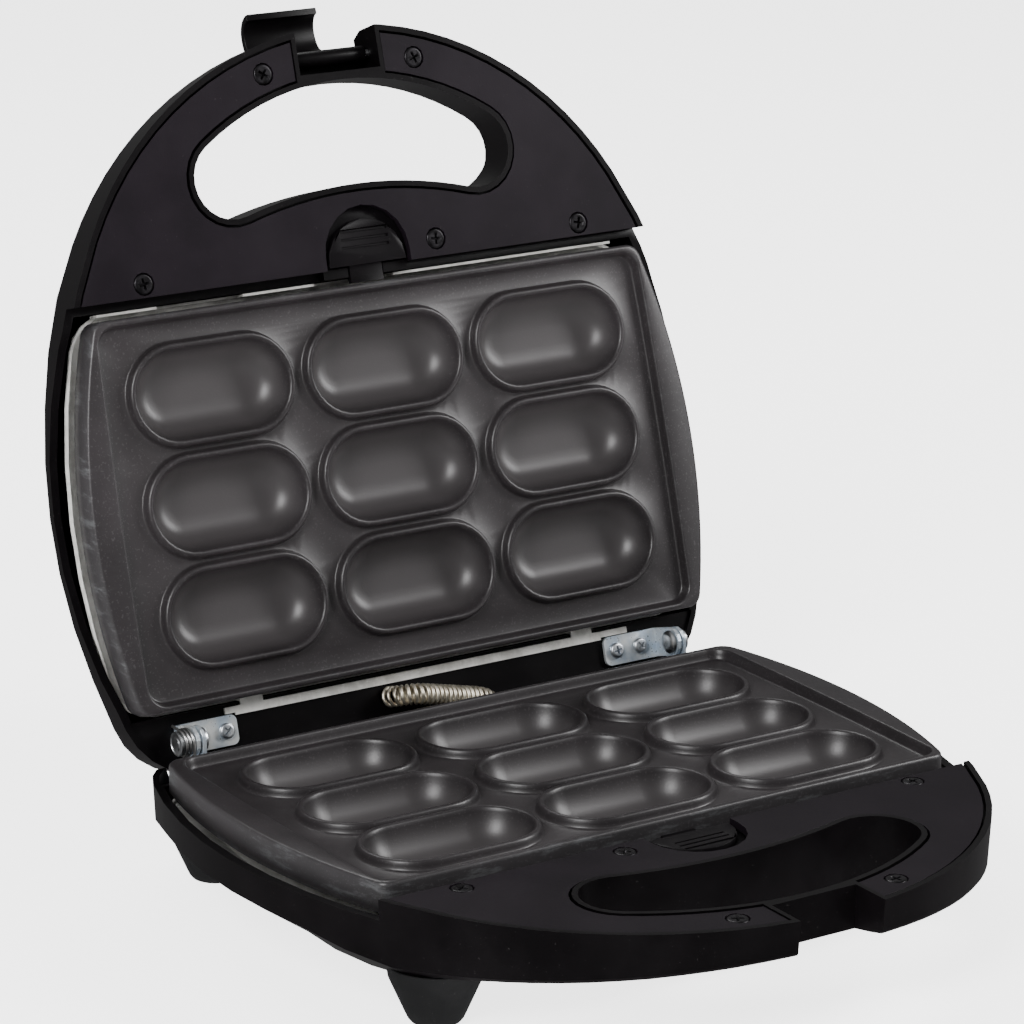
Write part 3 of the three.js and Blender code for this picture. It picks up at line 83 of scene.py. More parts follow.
# Soft room light and three broad lamps: name, place, size and power
studio = {"roomColour": (1, 1, 1, 1), "roomStrength": 0.2, "aim": (0, 0.02, 0.1),
          "lamps": [("keyLamp", (-1.05, -0.62, 0.95), (0.45, 0.6), 21),
                    ("sideLamp", (1.15, -0.6, 0.8), (0.35, 0.7), 17),
                    ("backLamp", (0.1, 1.0, 1.35), (1.0, 0.5), 12)],
          "floorHalf": 6, "floorColour": (0.95, 0.95, 0.95), "floorGlow": 3.0, "floorRough": 0.7, "floorGloss": 0.2}
room = bpy.data.worlds.new("room")
bpy.context.scene.world = room
room.use_nodes = True
background = room.node_tree.nodes["Background"]
background.inputs["Color"].default_value = studio["roomColour"]
background.inputs["Strength"].default_value = studio["roomStrength"]
for lampName, place, lampSize, power in studio["lamps"]:
    lamp = bpy.data.lights.new(lampName, "AREA")
    lamp.shape = "RECTANGLE"
    lamp.size, lamp.size_y = lampSize
    lamp.energy = power
    lampObject = addObject(lampName, lamp)
    lampObject.location = place
    lampObject.rotation_euler = (Vector(studio["aim"]) - Vector(place)).to_track_quat("-Z", "Y").to_euler()
print("camera and lamps set")


# A socket that can be added, subtracted and multiplied
class Signal:
    def __init__(self, look, socket):
        self.look, self.socket = look, socket

    def combine(self, operation, first, second):
        return self.look.node("ShaderNodeMath", {"operation": operation}, {0: first, 1: second})

    def __add__(self, other): return self.combine("ADD", self, other)
    def __radd__(self, other): return self.combine("ADD", other, self)
    def __sub__(self, other): return self.combine("SUBTRACT", self, other)
    def __rsub__(self, other): return self.combine("SUBTRACT", other, self)
    def __mul__(self, other): return self.combine("MULTIPLY", self, other)
    def __rmul__(self, other): return self.combine("MULTIPLY", other, self)


# A finish, whose nodes are all made by one method
class Look:
    def __init__(self, name, **fixed):
        self.material = bpy.data.materials.new(name)
        self.material.use_nodes = True
        self.tree = self.material.node_tree
        self.shader = self.tree.nodes["Principled BSDF"]
        self.place = self.node("ShaderNodeTexCoord", {}, {}, "Object")
        self.set(**fixed)

    def fill(self, socket, value):
        if isinstance(value, Signal):
            self.tree.links.new(value.socket, socket)
        elif isinstance(value, tuple) and len(value) == 3 and socket.type == "RGBA":
            socket.default_value = (*value, 1)
        else:
            socket.default_value = value

    def node(self, kind, settings, values, output=0):
        made = self.tree.nodes.new(kind)
        for key, value in settings.items():
            if key == "stops":
                made.color_ramp.interpolation = "EASE"
                for element, (position, shade) in zip(made.color_ramp.elements, value):
                    element.position, element.color = position, (shade, shade, shade, 1)
            else:
                setattr(made, key, value)
        for key, value in values.items():
            self.fill(made.inputs[key], value)
        return Signal(self, made.outputs[output])

    def set(self, **wanted):
        for socketName, value in wanted.items():
            self.fill(self.shader.inputs[socketName.replace("_", " ")], value)

    def noise(self, scale, detail, rough, stretch=None):
        where = self.place
        if stretch:
            where = self.node("ShaderNodeMapping", {}, {"Vector": where, "Scale": stretch})
        return self.node("ShaderNodeTexNoise", {},
                         {"Vector": where, "Scale": scale, "Detail": detail, "Roughness": rough})

    def ramp(self, value, low, high):
        return self.node("ShaderNodeValToRGB", {"stops": [(low, 0), (high, 1)]}, {"Fac": value})

    def mix(self, mask, a, b):
        return self.node("ShaderNodeMix", {"data_type": "RGBA"}, {0: mask, 6: a, 7: b}, 2)

    def attribute(self, name):
        return self.node("ShaderNodeAttribute", {"attribute_name": name}, {}, "Fac")

    def bump(self, height, strength, distance):
        values = {"Strength": strength, "Distance": distance, "Height": height}
        self.set(Normal=self.node("ShaderNodeBump", {}, values))


# In the dictionaries below a noise is its scale, detail and roughness, and stops are where a ramp starts and ends

# Moulded plastic and rubber: cloudy sheen, fine grain and a little dust
plasticGrain = {"gloss": 0.14, "cloud": (38, 4, 0.6), "cloudStops": (0.3, 0.75), "fine": (2600, 2, 0.5),
                "specks": (900, 2, 0.7), "speckStops": (0.69, 0.76), "dust": (0.16, 0.15, 0.15),
                "cloudRough": 0.14, "fineRough": 0.08, "meanRough": 0.1, "depth": 0.00006}


def plasticLook(name, dark, light, rough, grain, dust):
    g = plasticGrain
    look = Look(name, Specular_IOR_Level=g["gloss"])
    cloud, fine = look.noise(*g["cloud"]), look.noise(*g["fine"])
    specks = look.ramp(look.noise(*g["specks"]), *g["speckStops"])
    body = look.mix(look.ramp(cloud, *g["cloudStops"]), dark, light)
    look.set(Base_Color=look.mix(specks * dust, body, g["dust"]))
    look.set(Roughness=cloud * g["cloudRough"] + fine * g["fineRough"] + (rough - g["meanRough"]))
    look.bump(fine, grain, g["depth"])
    return look.material


# Non-stick coat of the cooking plates: "wear" marks rubbed edges, and the wells' depth mask paints the bowls lighter as
# a painted sheen
nonstickCoat = {"gloss": 0.5, "cloud": (24, 4, 0.6), "cloudStops": (0.32, 0.7), "flake": (2100, 3, 0.6),
                "scratch": (60, 5, 0.75, (1, 1, 5)), "scratchStops": (0.5, 0.66), "sparkle": (1500, 1, 0.4),
                "sparkleStops": (0.62, 0.7), "coatDark": (0.0165, 0.0142, 0.0152), "coatLight": (0.026, 0.0222, 0.0240),
                "sparkleColour": (0.11, 0.1, 0.105), "sparkleShare": 0.22, "bowlSheenColour": (0.050, 0.0455, 0.0465),
                "bowlSheenShare": 0.85, "rubbedColour": (0.14, 0.145, 0.15), "wearShare": 0.1, "scratchShare": 0.5,
                "rough": 0.27, "flakeRough": 0.14, "cloudRough": 0.08, "rubbedRough": 0.05, "metal": 0.1,
                "rubbedMetal": 0.4, "flakeBump": 0.7, "cloudBump": 0.3, "bump": 0.32, "depth": 0.00012}


def nonstickLook():
    c = nonstickCoat
    look = Look("nonstickCoat", Specular_IOR_Level=c["gloss"])
    cloud, flake = look.noise(*c["cloud"]), look.noise(*c["flake"])
    scratch = look.ramp(look.noise(*c["scratch"]), *c["scratchStops"])
    sparkle = look.ramp(look.noise(*c["sparkle"]), *c["sparkleStops"])
    coat = look.mix(look.ramp(cloud, *c["cloudStops"]), c["coatDark"], c["coatLight"])
    coat = look.mix(sparkle * c["sparkleShare"], coat, c["sparkleColour"])
    # Painted sheen: the wells turn a lighter grey the deeper they go, colour standing in for light caught in the bowls
    coat = look.mix(look.attribute("bowl") * c["bowlSheenShare"], coat, c["bowlSheenColour"])
    rubbed = look.attribute("wear") * (scratch * c["scratchShare"] + c["wearShare"])
    look.set(Base_Color=look.mix(rubbed, coat, c["rubbedColour"]))
    look.set(Roughness=c["rough"] + flake * c["flakeRough"] + cloud * c["cloudRough"] - rubbed * c["rubbedRough"])
    look.set(Metallic=c["metal"] + rubbed * c["rubbedMetal"])
    look.bump(flake * c["flakeBump"] + cloud * c["cloudBump"], c["bump"], c["depth"])
    return look.material


# Bare metals: two shades in patches, with a finer grain. What dulled says, the grain takes off the metal's shine
metalGrain = {"gloss": 0.5, "patchNoise": (5, 0.65), "patchStops": (0.33, 0.66), "fineTimes": 14, "fineNoise": (3, 0.6),
              "patchRough": 0.6, "patchBump": 0.6, "fineBump": 0.4, "depth": 0.0001}


def metalLook(name, dark, light, rough, spread, scale, bump=0.15, dulled=0):
    g = metalGrain
    look = Look(name, Specular_IOR_Level=g["gloss"])
    cloud, fine = look.noise(scale, *g["patchNoise"]), look.noise(scale * g["fineTimes"], *g["fineNoise"])
    patches = look.ramp(cloud, *g["patchStops"])
    look.set(Base_Color=look.mix(patches, dark, light))
    look.set(Roughness=fine * spread + patches * (spread * g["patchRough"]) + rough)
    look.set(Metallic=1 - fine * dulled if dulled else 1)
    look.bump(cloud * g["patchBump"] + fine * g["fineBump"], bump, g["depth"])
    return look.material


# Zinc plate: bluish and yellowish tints over small spangles
zincPlate = {"tint": (90, 3, 0.6), "tintStops": (0.35, 0.68), "blue": (0.55, 0.66, 0.78), "warm": (0.86, 0.87, 0.84),
             "spangleScale": 700, "spangleColour": (0.3, 0.34, 0.4), "spangleShare": 0.35, "metal": 0.85,
             "tintMetal": 0.4, "rough": 0.16, "spangleRough": 0.2, "tintRough": 0.16, "bump": 0.12, "depth": 0.00008}


def zincLook():
    z = zincPlate
    look = Look("zincPlate")
    tint = look.noise(*z["tint"])
    spangle = look.node("ShaderNodeTexVoronoi", {"feature": "F1"},
                        {"Vector": look.place, "Scale": z["spangleScale"]}, "Distance")
    plate = look.mix(look.ramp(tint, *z["tintStops"]), z["blue"], z["warm"])
    look.set(Base_Color=look.mix(spangle * z["spangleShare"], plate, z["spangleColour"]))
    look.set(Metallic=z["metal"] - tint * z["tintMetal"])
    look.set(Roughness=spangle * z["spangleRough"] + tint * z["tintRough"] + z["rough"])
    look.bump(spangle, z["bump"], z["depth"])
    return look.material


# Moulded lenses: swirls of a paler tone in the colour
lensTint = {"coat": 0.6, "clear": 0.25, "swirl": (300, 2, 0.5), "swirlShare": 0.4, "paler": 2.5, "lift": 0.02,
            "rough": 0.12, "swirlRough": 0.1}


def lensLook(name, colour):
    t = lensTint
    look = Look(name, Coat_Weight=t["coat"], Transmission_Weight=t["clear"])
    swirl = look.noise(*t["swirl"])
    pale = tuple(min(1, tone * t["paler"] + t["lift"]) for tone in colour)
    look.set(Base_Color=look.mix(swirl * t["swirlShare"], colour, pale))
    look.set(Roughness=swirl * t["swirlRough"] + t["rough"])
    return look.material


finishes = {
    "shell": plasticLook("shellPlastic", (0.0016, 0.0012, 0.0015), (0.0034, 0.0027, 0.0032),
                         rough=0.36, grain=0.25, dust=0.10),
    "button": plasticLook("buttonPlastic", (0.0028, 0.0022, 0.0028), (0.0048, 0.0038, 0.0046),
                          rough=0.40, grain=0.3, dust=0.10),
    "cover": plasticLook("coverPlastic", (0.0060, 0.0042, 0.0062), (0.0088, 0.0062, 0.0090),
                         rough=0.40, grain=0.35, dust=0.08),
    "rubber": plasticLook("footRubber", (0.0055, 0.0055, 0.0058), (0.011, 0.011, 0.0115),
                          rough=0.62, grain=0.5, dust=0.15),
    "ceramic": plasticLook("glazedCeramic", (0.62, 0.6, 0.54), (0.72, 0.7, 0.65), rough=0.22, grain=0.1, dust=0.3),
    "nonstick": nonstickLook(),
    "zinc": zincLook(),
    "bright": metalLook("aluminisedSheet", (0.66, 0.65, 0.61), (0.93, 0.92, 0.88),
                        rough=0.4, spread=0.2, scale=160, bump=0.3, dulled=1.7),
    "screw_steel": metalLook("zincScrew", (0.42, 0.46, 0.52), (0.66, 0.68, 0.70), rough=0.24, spread=0.16, scale=240),
    "pin_steel": metalLook("pinSteel", (0.52, 0.54, 0.56), (0.74, 0.75, 0.76), rough=0.2, spread=0.14, scale=200),
    "spring_steel": metalLook("springSteel", (0.42, 0.42, 0.42), (0.66, 0.65, 0.63),
                              rough=0.24, spread=0.14, scale=260),
    "sleeve": metalLook("sleeveWire", (0.52, 0.47, 0.38), (0.78, 0.73, 0.62), rough=0.3, spread=0.16, scale=220),
    "heater_tube": metalLook("heaterTube", (0.035, 0.034, 0.036), (0.09, 0.085, 0.085),
                             rough=0.45, spread=0.2, scale=60, bump=0.3, dulled=0.3),
    "switch_metal": metalLook("switchMetal", (0.45, 0.45, 0.46), (0.62, 0.62, 0.62), rough=0.3, spread=0.2, scale=120),
    "lens_power": lensLook("powerLens", (0.42, 0.02, 0.015)),
    "lens_ready": lensLook("readyLens", (0.02, 0.26, 0.05)),
}
darkScrew = metalLook("blackScrew", (0.006, 0.0055, 0.006), (0.024, 0.022, 0.025),
                      rough=0.2, spread=0.2, scale=300, bump=0.2, dulled=0.4)
print("finishes made:", len(finishes) + 1)

# The floor glows softly, so that it stays pale round the object
sheet = bmesh.new()
bmesh.ops.create_grid(sheet, x_segments=1, y_segments=1, size=studio["floorHalf"])
floorMesh = bpy.data.meshes.new("floor")
sheet.to_mesh(floorMesh)
sheet.free()
floorMesh.materials.append(Look("paleFloor", Base_Color=studio["floorColour"], Emission_Color=(1, 1, 1),
                                Emission_Strength=studio["floorGlow"], Roughness=studio["floorRough"],
                                Specular_IOR_Level=studio["floorGloss"]).material)
floorObject = addObject("floor", floorMesh)
floorObject.visible_glossy = False  # the dark walls mirror the room, not the bright floor

joinWithin = 1e-4  # corners of a new shape this close become one, in its millimetres
tiny = 1e-6  # what counts as no length


# A drawn shape becomes a placed piece that stands for its CAD node
def finishPiece(shape, name, placed, node, material=None, sharp=35, copied=False):
    if not copied:
        bmesh.ops.remove_doubles(shape, verts=shape.verts, dist=joinWithin)
        bmesh.ops.recalc_face_normals(shape, faces=shape.faces)
    bmesh.ops.transform(shape, matrix=placed, verts=shape.verts)
    for face in shape.faces:
        face.smooth = True
    mesh = bpy.data.meshes.new(name)
    shape.to_mesh(mesh)
    shape.free()
    mesh.set_sharp_from_angle(angle=math.radians(sharp))
    mesh.materials.append(material or finishes[slotOf[node]])
    piece = addObject(name, mesh)
    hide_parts(node)
    return piece


# The middle of a CAD node's top and the node's height, in a piece's own millimetres
def topOf(node, placed):
    inverse = placed.inverted()
    points = [inverse @ v.co for v in cadNodes[node].data.vertices]
    low, high = ([pick(p[i] for p in points) for i in range(3)] for pick in (min, max))
    return Vector(((low[0] + high[0]) / 2, (low[1] + high[1]) / 2, high[2])), high[2] - low[2]


def arcPoints(cx, cy, radius, start, end, count):
    turns = [start + (end - start) * i / count for i in range(count + 1)]
    return [(cx + radius * math.cos(turn), cy + radius * math.sin(turn)) for turn in turns]


# Rings of points: one ring is drawn, then extruded to each next ring
def startRing(shape, points):
    verts = [shape.verts.new(p) for p in points]
    return [shape.edges.new(pair) for pair in zip(verts, verts[1:] + verts[:1])]


def keyOf(point, digits=5):
    return tuple(round(c, digits) for c in point)


def movedVerts(grown):
    return [g for g in grown if isinstance(g, bmesh.types.BMVert)]


def stackRings(shape, edges, rings):
    for previous, following in zip(rings, rings[1:]):
        goal = {keyOf(here): there for here, there in zip(previous, following)}
        grown = bmesh.ops.extrude_edge_only(shape, edges=edges)["geom"]
        moved = set(movedVerts(grown))
        for v in moved:
            v.co = goal[keyOf(v.co)]
        edges = [g for g in grown if isinstance(g, bmesh.types.BMEdge) and moved.issuperset(g.verts)]
    return edges


def fillRings(shape, edges):
    bmesh.ops.triangle_fill(shape, use_beauty=True, use_dissolve=False, edges=edges)


def roundEdges(shape, edges, offset, segments):
    bmesh.ops.bevel(shape, geom=edges, offset=offset, offset_type="OFFSET", segments=segments, profile=0.5,
                    affect="EDGES", material=-1, clamp_overlap=True)


def spun(shape, profile, axis, centre, steps):
    verts = [shape.verts.new(p) for p in profile]
    edges = [shape.edges.new(pair) for pair in zip(verts, verts[1:])]
    bmesh.ops.spin(shape, geom=verts + edges, cent=centre, axis=axis, angle=2 * math.pi, steps=steps, use_merge=True)


# The cooking plates: rolled rim, soft slopes, beaded wells and smooth bowls.
# The edge and field rows say how far in or out, how high and how worn; the well rows how far out and how high
plateSizes = {
    "halfWidth": 112.2, "front": 61, "rear": 62, "sideRadius": 214, "widest": 7.6, "corner": 5,
    "fieldHalf": 101, "fieldRadius": 2000, "fieldWidest": 25, "fieldFront": 57.7, "fieldRear": 58.7,
    "columnPitch": 63, "rowPitch": 35, "wellLength": 58, "wellWidth": 32,
    # The last two numbers of the row below set the depth where the wells' painted sheen starts and the depth over which
    # it fades in
    "cornerSteps": 7, "sideSteps": 22, "endSteps": 15, "bowlSheenStart": 1.5, "bowlSheenFade": 5,
    "edge": [(2, -5.4, 0), (2, -8.7, 0), (1.7, -9, 0.4), (0.3, -9, 0.8), (0, -8.7, 1), (0, -5.2, 0.7), (0, -0.7, 1),
             (0.15, -0.1, 0.9), (0.5, 0.32, 0.5), (1.0, 0.5, 0.08)],
    "field": [(1.9, 0.5, 0.05), (1.6, 0.47, 0.3), (1.35, 0.3, 0.3), (1.1, -0.1, 0), (0.75, -1.3, 0), (0.4, -2.4, 0),
              (0.1, -2.85, 0), (-0.4, -3.0, 0)],
    "well": [(1.25, -3.0), (0.95, -2.86), (0.72, -2.45), (0.5, -1.6), (0.25, -0.7), (-0.05, -0.22), (-0.5, 0.0),
             (-1.0, 0.02), (-1.45, -0.16), (-1.8, -0.6), (-2.1, -1.5), (-2.6, -3.1), (-3.4, -5.0), (-4.6, -7.0),
             (-6.2, -8.8), (-8.2, -10.1), (-10.6, -10.8), (-13.2, -11.0)],
    "under": [(0.2, -5.4), (-0.3, -6.2), (-1.6, -8.2), (-4.0, -11.0), (-7.0, -12.6), (-11.0, -13.0)],
}


def bowedRing(half, radius, cy, corner, front, rear, z):
    cx = half - radius
    cornerAt = lambda y: cx + math.sqrt((radius - corner) ** 2 - (y - cy) ** 2)
    low, high = -front + corner, rear - corner
    frontTurn = math.atan2(low - cy, cornerAt(low) - cx)
    rearTurn = math.atan2(high - cy, cornerAt(high) - cx)
    side = arcPoints(cornerAt(low), low, corner, -math.pi / 2, frontTurn, plateSizes["cornerSteps"])[:-1]
    side += arcPoints(cx, cy, radius, frontTurn, rearTurn, plateSizes["sideSteps"])[:-1]
    side += arcPoints(cornerAt(high), high, corner, rearTurn, math.pi / 2, plateSizes["cornerSteps"])
    return [Vector((x, y, z)) for x, y in side + [(-x, y) for x, y in reversed(side)]]


def plateRing(inset, z):
    s = plateSizes
    return bowedRing(s["halfWidth"] - inset, s["sideRadius"] - inset, s["widest"], s["corner"],
                     s["front"] - inset, s["rear"] - inset, z)


def fieldRing(grow, z):
    s = plateSizes
    return bowedRing(s["fieldHalf"] + grow, s["fieldRadius"], s["fieldWidest"], s["corner"] + grow,
                     s["fieldFront"] + grow, s["fieldRear"] + grow, z)


def wellRing(x, y, grow, z):
    s = plateSizes
    radius, run = s["wellWidth"] / 2 + grow, (s["wellLength"] - s["wellWidth"]) / 2
    right = arcPoints(x + run, y, radius, -math.pi / 2, math.pi / 2, s["endSteps"])
    left = arcPoints(x - run, y, radius, math.pi / 2, 3 * math.pi / 2, s["endSteps"])
    return [Vector((px, py, z)) for px, py in right + left]


def buildPlate(node, placed):
    s = plateSizes
    shape = bmesh.new()
    wear = shape.verts.layers.float.new("wear")
    bowl = shape.verts.layers.float.new("bowl")
    rings = [plateRing(inset, z) for inset, z, _ in s["edge"]] + [fieldRing(grow, z) for grow, z, _ in s["field"]]
    underEdges = startRing(shape, rings[0])
    fieldEdges = stackRings(shape, underEdges, rings)
    worn = {keyOf(p, 4): row[2] for ring, row in zip(rings, s["edge"] + s["field"]) for p in ring}
    for v in shape.verts:
        v[wear] = worn.get(keyOf(v.co, 4), 0)
    rim = set(shape.verts)
    for edges, profile in ((fieldEdges, s["well"]), (underEdges, s["under"])):
        mouths = []
        for column in (-1, 0, 1):
            for row in (-1, 0, 1):
                x, y = column * s["columnPitch"], row * s["rowPitch"]
                wellRings = [wellRing(x, y, grow, z) for grow, z in profile]
                mouth = startRing(shape, wellRings[0])
                fillRings(shape, stackRings(shape, mouth, wellRings))
                mouths += mouth
        fillRings(shape, list(edges) + mouths)
    # Painted sheen mask: 0 on the rim, rising with depth into each well
    for v in shape.verts:
        v[bowl] = 0 if v in rim else min(1, max(0, (-v.co.z - s["bowlSheenStart"]) / s["bowlSheenFade"]))
    piece = finishPiece(shape, node + "_cast", placed, node, sharp=50)
    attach(piece, bodyOf[node])
    return piece


basePlate = buildPlate("base_plate", baseFrame)
buildPlate("lid_plate", lidFrame)
print("plates:", len(basePlate.data.polygons), "faces each")

# Screws: rounded head with a cross recess. The head rows say how far in from the head's edge, and how high
screwSizes = {"sides": 32, "head": [(0.9, 0.0), (0.55, -0.03), (0.25, -0.22), (0.0, -0.6), (0.0, -1.3)],
              "headHeight": 1.3, "shank": 1.4, "neck": 0.3, "pointHeight": 0.7, "point": 0.35, "drawnFor": 3.4,
              "crossLong": 1.95, "crossHalf": 0.42, "cross": [(1, 0), (0.93, -0.12), (0.62, -1.05)]}
screwKinds = {"base_cover_screw": (baseFrame, 3.4, darkScrew), "lid_cover_screw": (lidFrame, 3.4, darkScrew),
              "leaf_screw": (leafFrame, 2.6, None), "bracket_screw": (baseFrame, 2.6, None)}


def buildScrew(node, placed, radius, material):
    s = screwSizes
    top, reach = topOf(node, placed)
    turned = Matrix.Translation(top) @ Matrix.Rotation(random.uniform(0, math.pi / 2), 4, "Z")
    profile = [(radius - inset, z) for inset, z in s["head"]]
    profile += [(s["shank"] + s["neck"], -s["headHeight"]), (s["shank"], -s["headHeight"] - s["neck"]),
                (s["shank"], s["pointHeight"] - reach), (s["point"], -reach)]
    rings = [[Vector((x, y, z)) for x, y in arcPoints(0, 0, r, 0, 2 * math.pi, s["sides"])[:-1]] for r, z in profile]
    shape = bmesh.new()
    rim = startRing(shape, rings[0])
    fillRings(shape, stackRings(shape, rim, rings))
    a, b = (s[key] * radius / s["drawnFor"] for key in ("crossLong", "crossHalf"))
    cross = [(a, -b), (a, b), (b, b), (b, a), (-b, a), (-b, b),
             (-a, b), (-a, -b), (-b, -b), (-b, -a), (b, -a), (b, -b)]
    recess = [[Vector((x * share, y * share, z)) for x, y in cross] for share, z in s["cross"]]
    mouth = startRing(shape, recess[0])
    fillRings(shape, stackRings(shape, mouth, recess))
    fillRings(shape, rim + mouth)
    piece = finishPiece(shape, node + "_head", placed @ turned, node, material, sharp=38)
    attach(piece, bodyOf[node])


for node in sorted(cadNodes):
    kind = node.rpartition("_")[0]
    if kind in screwKinds:
        buildScrew(node, *screwKinds[kind])
print("screws made")

# Tapered feet: a rubber sleeve up round the casing's boss, a rolled edge and a soft sole
footSizes = {"steps": 48, "profile": [(0, 0), (12.5, 0), (12.5, 4.5), (14.35, 4.6), (14.55, 4.35), (13.9, 0.2),
                                      (12.9, -2.2), (11.6, -5.2), (10.3, -8.2), (9.1, -11.0), (8.3, -12.7),
                                      (7.5, -13.65), (6.5, -14.12), (5.2, -14.2), (4.7, -13.9), (0, -13.9)]}
for node in [n for n in sorted(cadNodes) if n.startswith("foot_")]:
    top, height = topOf(node, baseFrame)
    shape = bmesh.new()
    spun(shape, [top + Vector((r, 0, z)) for r, z in footSizes["profile"]], (0, 0, 1), top, footSizes["steps"])
    piece = finishPiece(shape, node + "_turned", baseFrame, node, sharp=40)
    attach(piece, "base")

# Latch: knuckle, leaning stem and a crowned hook, drawn in its own frame
latchSizes = {"half": 13.2, "lean": 2.2, "stem": 24.9, "inner": 6.6, "depth": 4.0, "thick": 2.4, "sweep": 175,
              "hookSteps": 30, "knuckle": 2.7, "knuckleFrom": -40, "knuckleTo": 200, "knuckleSteps": 18,
              "round": 0.45, "roundSteps": 3, "crown": 1.6}


def buildLatch():
    s = latchSizes
    outer = s["inner"] + s["thick"]
    hookY, lipTurn = s["lean"] + outer, math.pi + math.radians(s["sweep"])
    hook = lambda radius, depth: [(y, z * depth / radius - s["stem"])
                                  for y, z in arcPoints(hookY, 0, radius, math.pi, lipTurn, s["hookSteps"])]
    outline = hook(outer, s["depth"] + s["thick"]) + hook(s["inner"], s["depth"])[::-1]
    outline += arcPoints(0, 0, s["knuckle"], math.radians(s["knuckleFrom"]), math.radians(s["knuckleTo"]),
                         s["knuckleSteps"])
    shape = bmesh.new()
    face = shape.faces.new([shape.verts.new((-s["half"], y, z)) for y, z in outline])
    grown = bmesh.ops.extrude_face_region(shape, geom=[face])["geom"]
    bmesh.ops.translate(shape, vec=(2 * s["half"], 0, 0), verts=movedVerts(grown))
    ends = [e for e in shape.edges if abs(e.verts[0].co.x - e.verts[1].co.x) < tiny]
    roundEdges(shape, ends, s["round"], s["roundSteps"])
    for v in shape.verts:  # the lip is crowned: its ends lie lower than its middle
        rise = max(0, v.co.y - hookY) / outer
        v.co.y -= s["crown"] * rise * (v.co.x / s["half"]) ** 2
    return finishPiece(shape, "latch_clip", latchFrame, "latch")


latchPiece = buildLatch()
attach(latchPiece, "latch_body")

# Latch pin and riveted hinge pins, turned: places along the pin and radii
pinSizes = {
    "steps": 40,
    "latch_pin": [(-17.6, 0), (-17.6, 1.0), (-17.3, 1.3), (17.3, 1.3), (17.6, 1.0), (17.6, 0)],
    "hinge_pin_left": [(-96.5, 0), (-96.5, 1.9), (-96.2, 2.2), (-96.2, 3.4), (-96.45, 3.6), (-96.3, 3.9), (-95.8, 3.9),
                       (-95.71, 3.7), (-95.71, 3.4), (-91.7, 3.4), (-91.7, 2.3), (-87.8, 2.3), (-87.8, 3.7),
                       (-87.6, 3.9), (-86.9, 3.75), (-86.35, 2.9), (-86.2, 1.6), (-86.15, 0)],
    "hinge_pin_right": [(88.3, 0), (88.32, 1.6), (88.5, 2.9), (89.1, 3.75), (89.7, 3.9), (89.9, 3.7), (89.9, 2.3),
                        (93.5, 2.3), (93.5, 3.7), (93.7, 3.9), (94.4, 3.9), (94.7, 3.6), (94.7, 2.2), (94.55, 1.8),
                        (94.55, 0)],
}
for node, placed in (("latch_pin", latchFrame), ("hinge_pin_left", hingeFrame), ("hinge_pin_right", hingeFrame)):
    shape = bmesh.new()
    spun(shape, [Vector((x, r, 0)) for x, r in pinSizes[node]], (1, 0, 0), (0, 0, 0), pinSizes["steps"])
    piece = finishPiece(shape, node + "_turned", placed, node)
    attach(piece, bodyOf[node])
print("feet, latch and pins made")


# Wound wire: a fine round section along a path
def woundWire(name, points, radius, placed, node, roundness=5):
    curve = bpy.data.curves.new(name, "CURVE")
    curve.dimensions, curve.use_fill_caps = "3D", True
    curve.bevel_depth, curve.bevel_resolution = radius, roundness
    line = curve.splines.new("POLY")
    line.points.add(len(points) - 1)
    for target, p in zip(line.points, points):
        target.co = (*p, 1)
    drawn = addObject(name + "Line", curve)
    mesh = bpy.data.meshes.new_from_object(drawn.evaluated_get(bpy.context.evaluated_depsgraph_get()))
    bpy.data.objects.remove(drawn)
    shape = bmesh.new()
    shape.from_mesh(mesh)
    bpy.data.meshes.remove(mesh)
    return finishPiece(shape, name, placed, node, sharp=60)


# Torsion spring: a leg up from the base, the coils on the left pin's sleeve, and a tail
torsionSizes = {"sleeve": 3.4, "seat": 0.3, "wire": 0.9, "turns": 2.25, "pitch": 1.25, "start": -92.15, "foot": -16.7,
                "tail": 5, "steps": 36}


def torsionPath():
    s = torsionSizes
    radius = s["sleeve"] + s["seat"] + s["wire"] / 2
    points = [Vector((s["start"], -radius, s["foot"])), Vector((s["start"], -radius, s["foot"] / 2))]
    for i in range(round(s["turns"] * s["steps"]) + 1):
        turn = math.pi - 2 * math.pi * i / s["steps"]
        along = s["start"] - s["pitch"] * i / s["steps"]
        points.append(Vector((along, radius * math.cos(turn), radius * math.sin(turn))))
    return points + [points[-1] + Vector((0, s["tail"], 0))]


springPiece = woundWire("torsionSpringWire", torsionPath(), torsionSizes["wire"] / 2, hingeFrame, "torsion_spring")
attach(springPiece, "base")

# Return springs of the two buttons
returnSizes = {"radius": 0.88, "wire": 0.16, "turns": 7, "steps": 24, "middleZ": -8.4, "from": -80.8, "to": -73.7}


def returnPath():
    s = returnSizes
    count = s["turns"] * s["steps"]
    coil = arcPoints(0, s["middleZ"], s["radius"], 0, 2 * math.pi * s["turns"], count)
    return [Vector((x, s["from"] + (s["to"] - s["from"]) * i / count, z)) for i, (x, z) in enumerate(coil)]


for half, placed in (("base", baseFrame), ("lid", lidFrame)):
    piece = woundWire(half + "ReturnSpring", returnPath(), returnSizes["wire"], placed, half + "_release_spring")
    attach(piece, half)

# Coiled sleeve of the wires, from the lid's deck to the base's shelf
sleeveSizes = {"outer": 3.45, "coil": 2.9, "wire": 0.62, "pitch": 1.72, "lidX": -14, "baseX": 24, "deckRadius": 10.5,
               "deckGap": 0.15, "shelfZ": -16.7, "bend": 9, "drop": 1.1, "pull": 4.95, "endGap": 0.5,
               "bendSteps": 40, "runSteps": 20, "steps": 18}


def cubic(a, b, c, d, t):
    return a * (1 - t) ** 3 + b * 3 * t * (1 - t) ** 2 + c * 3 * t * t * (1 - t) + d * t ** 3


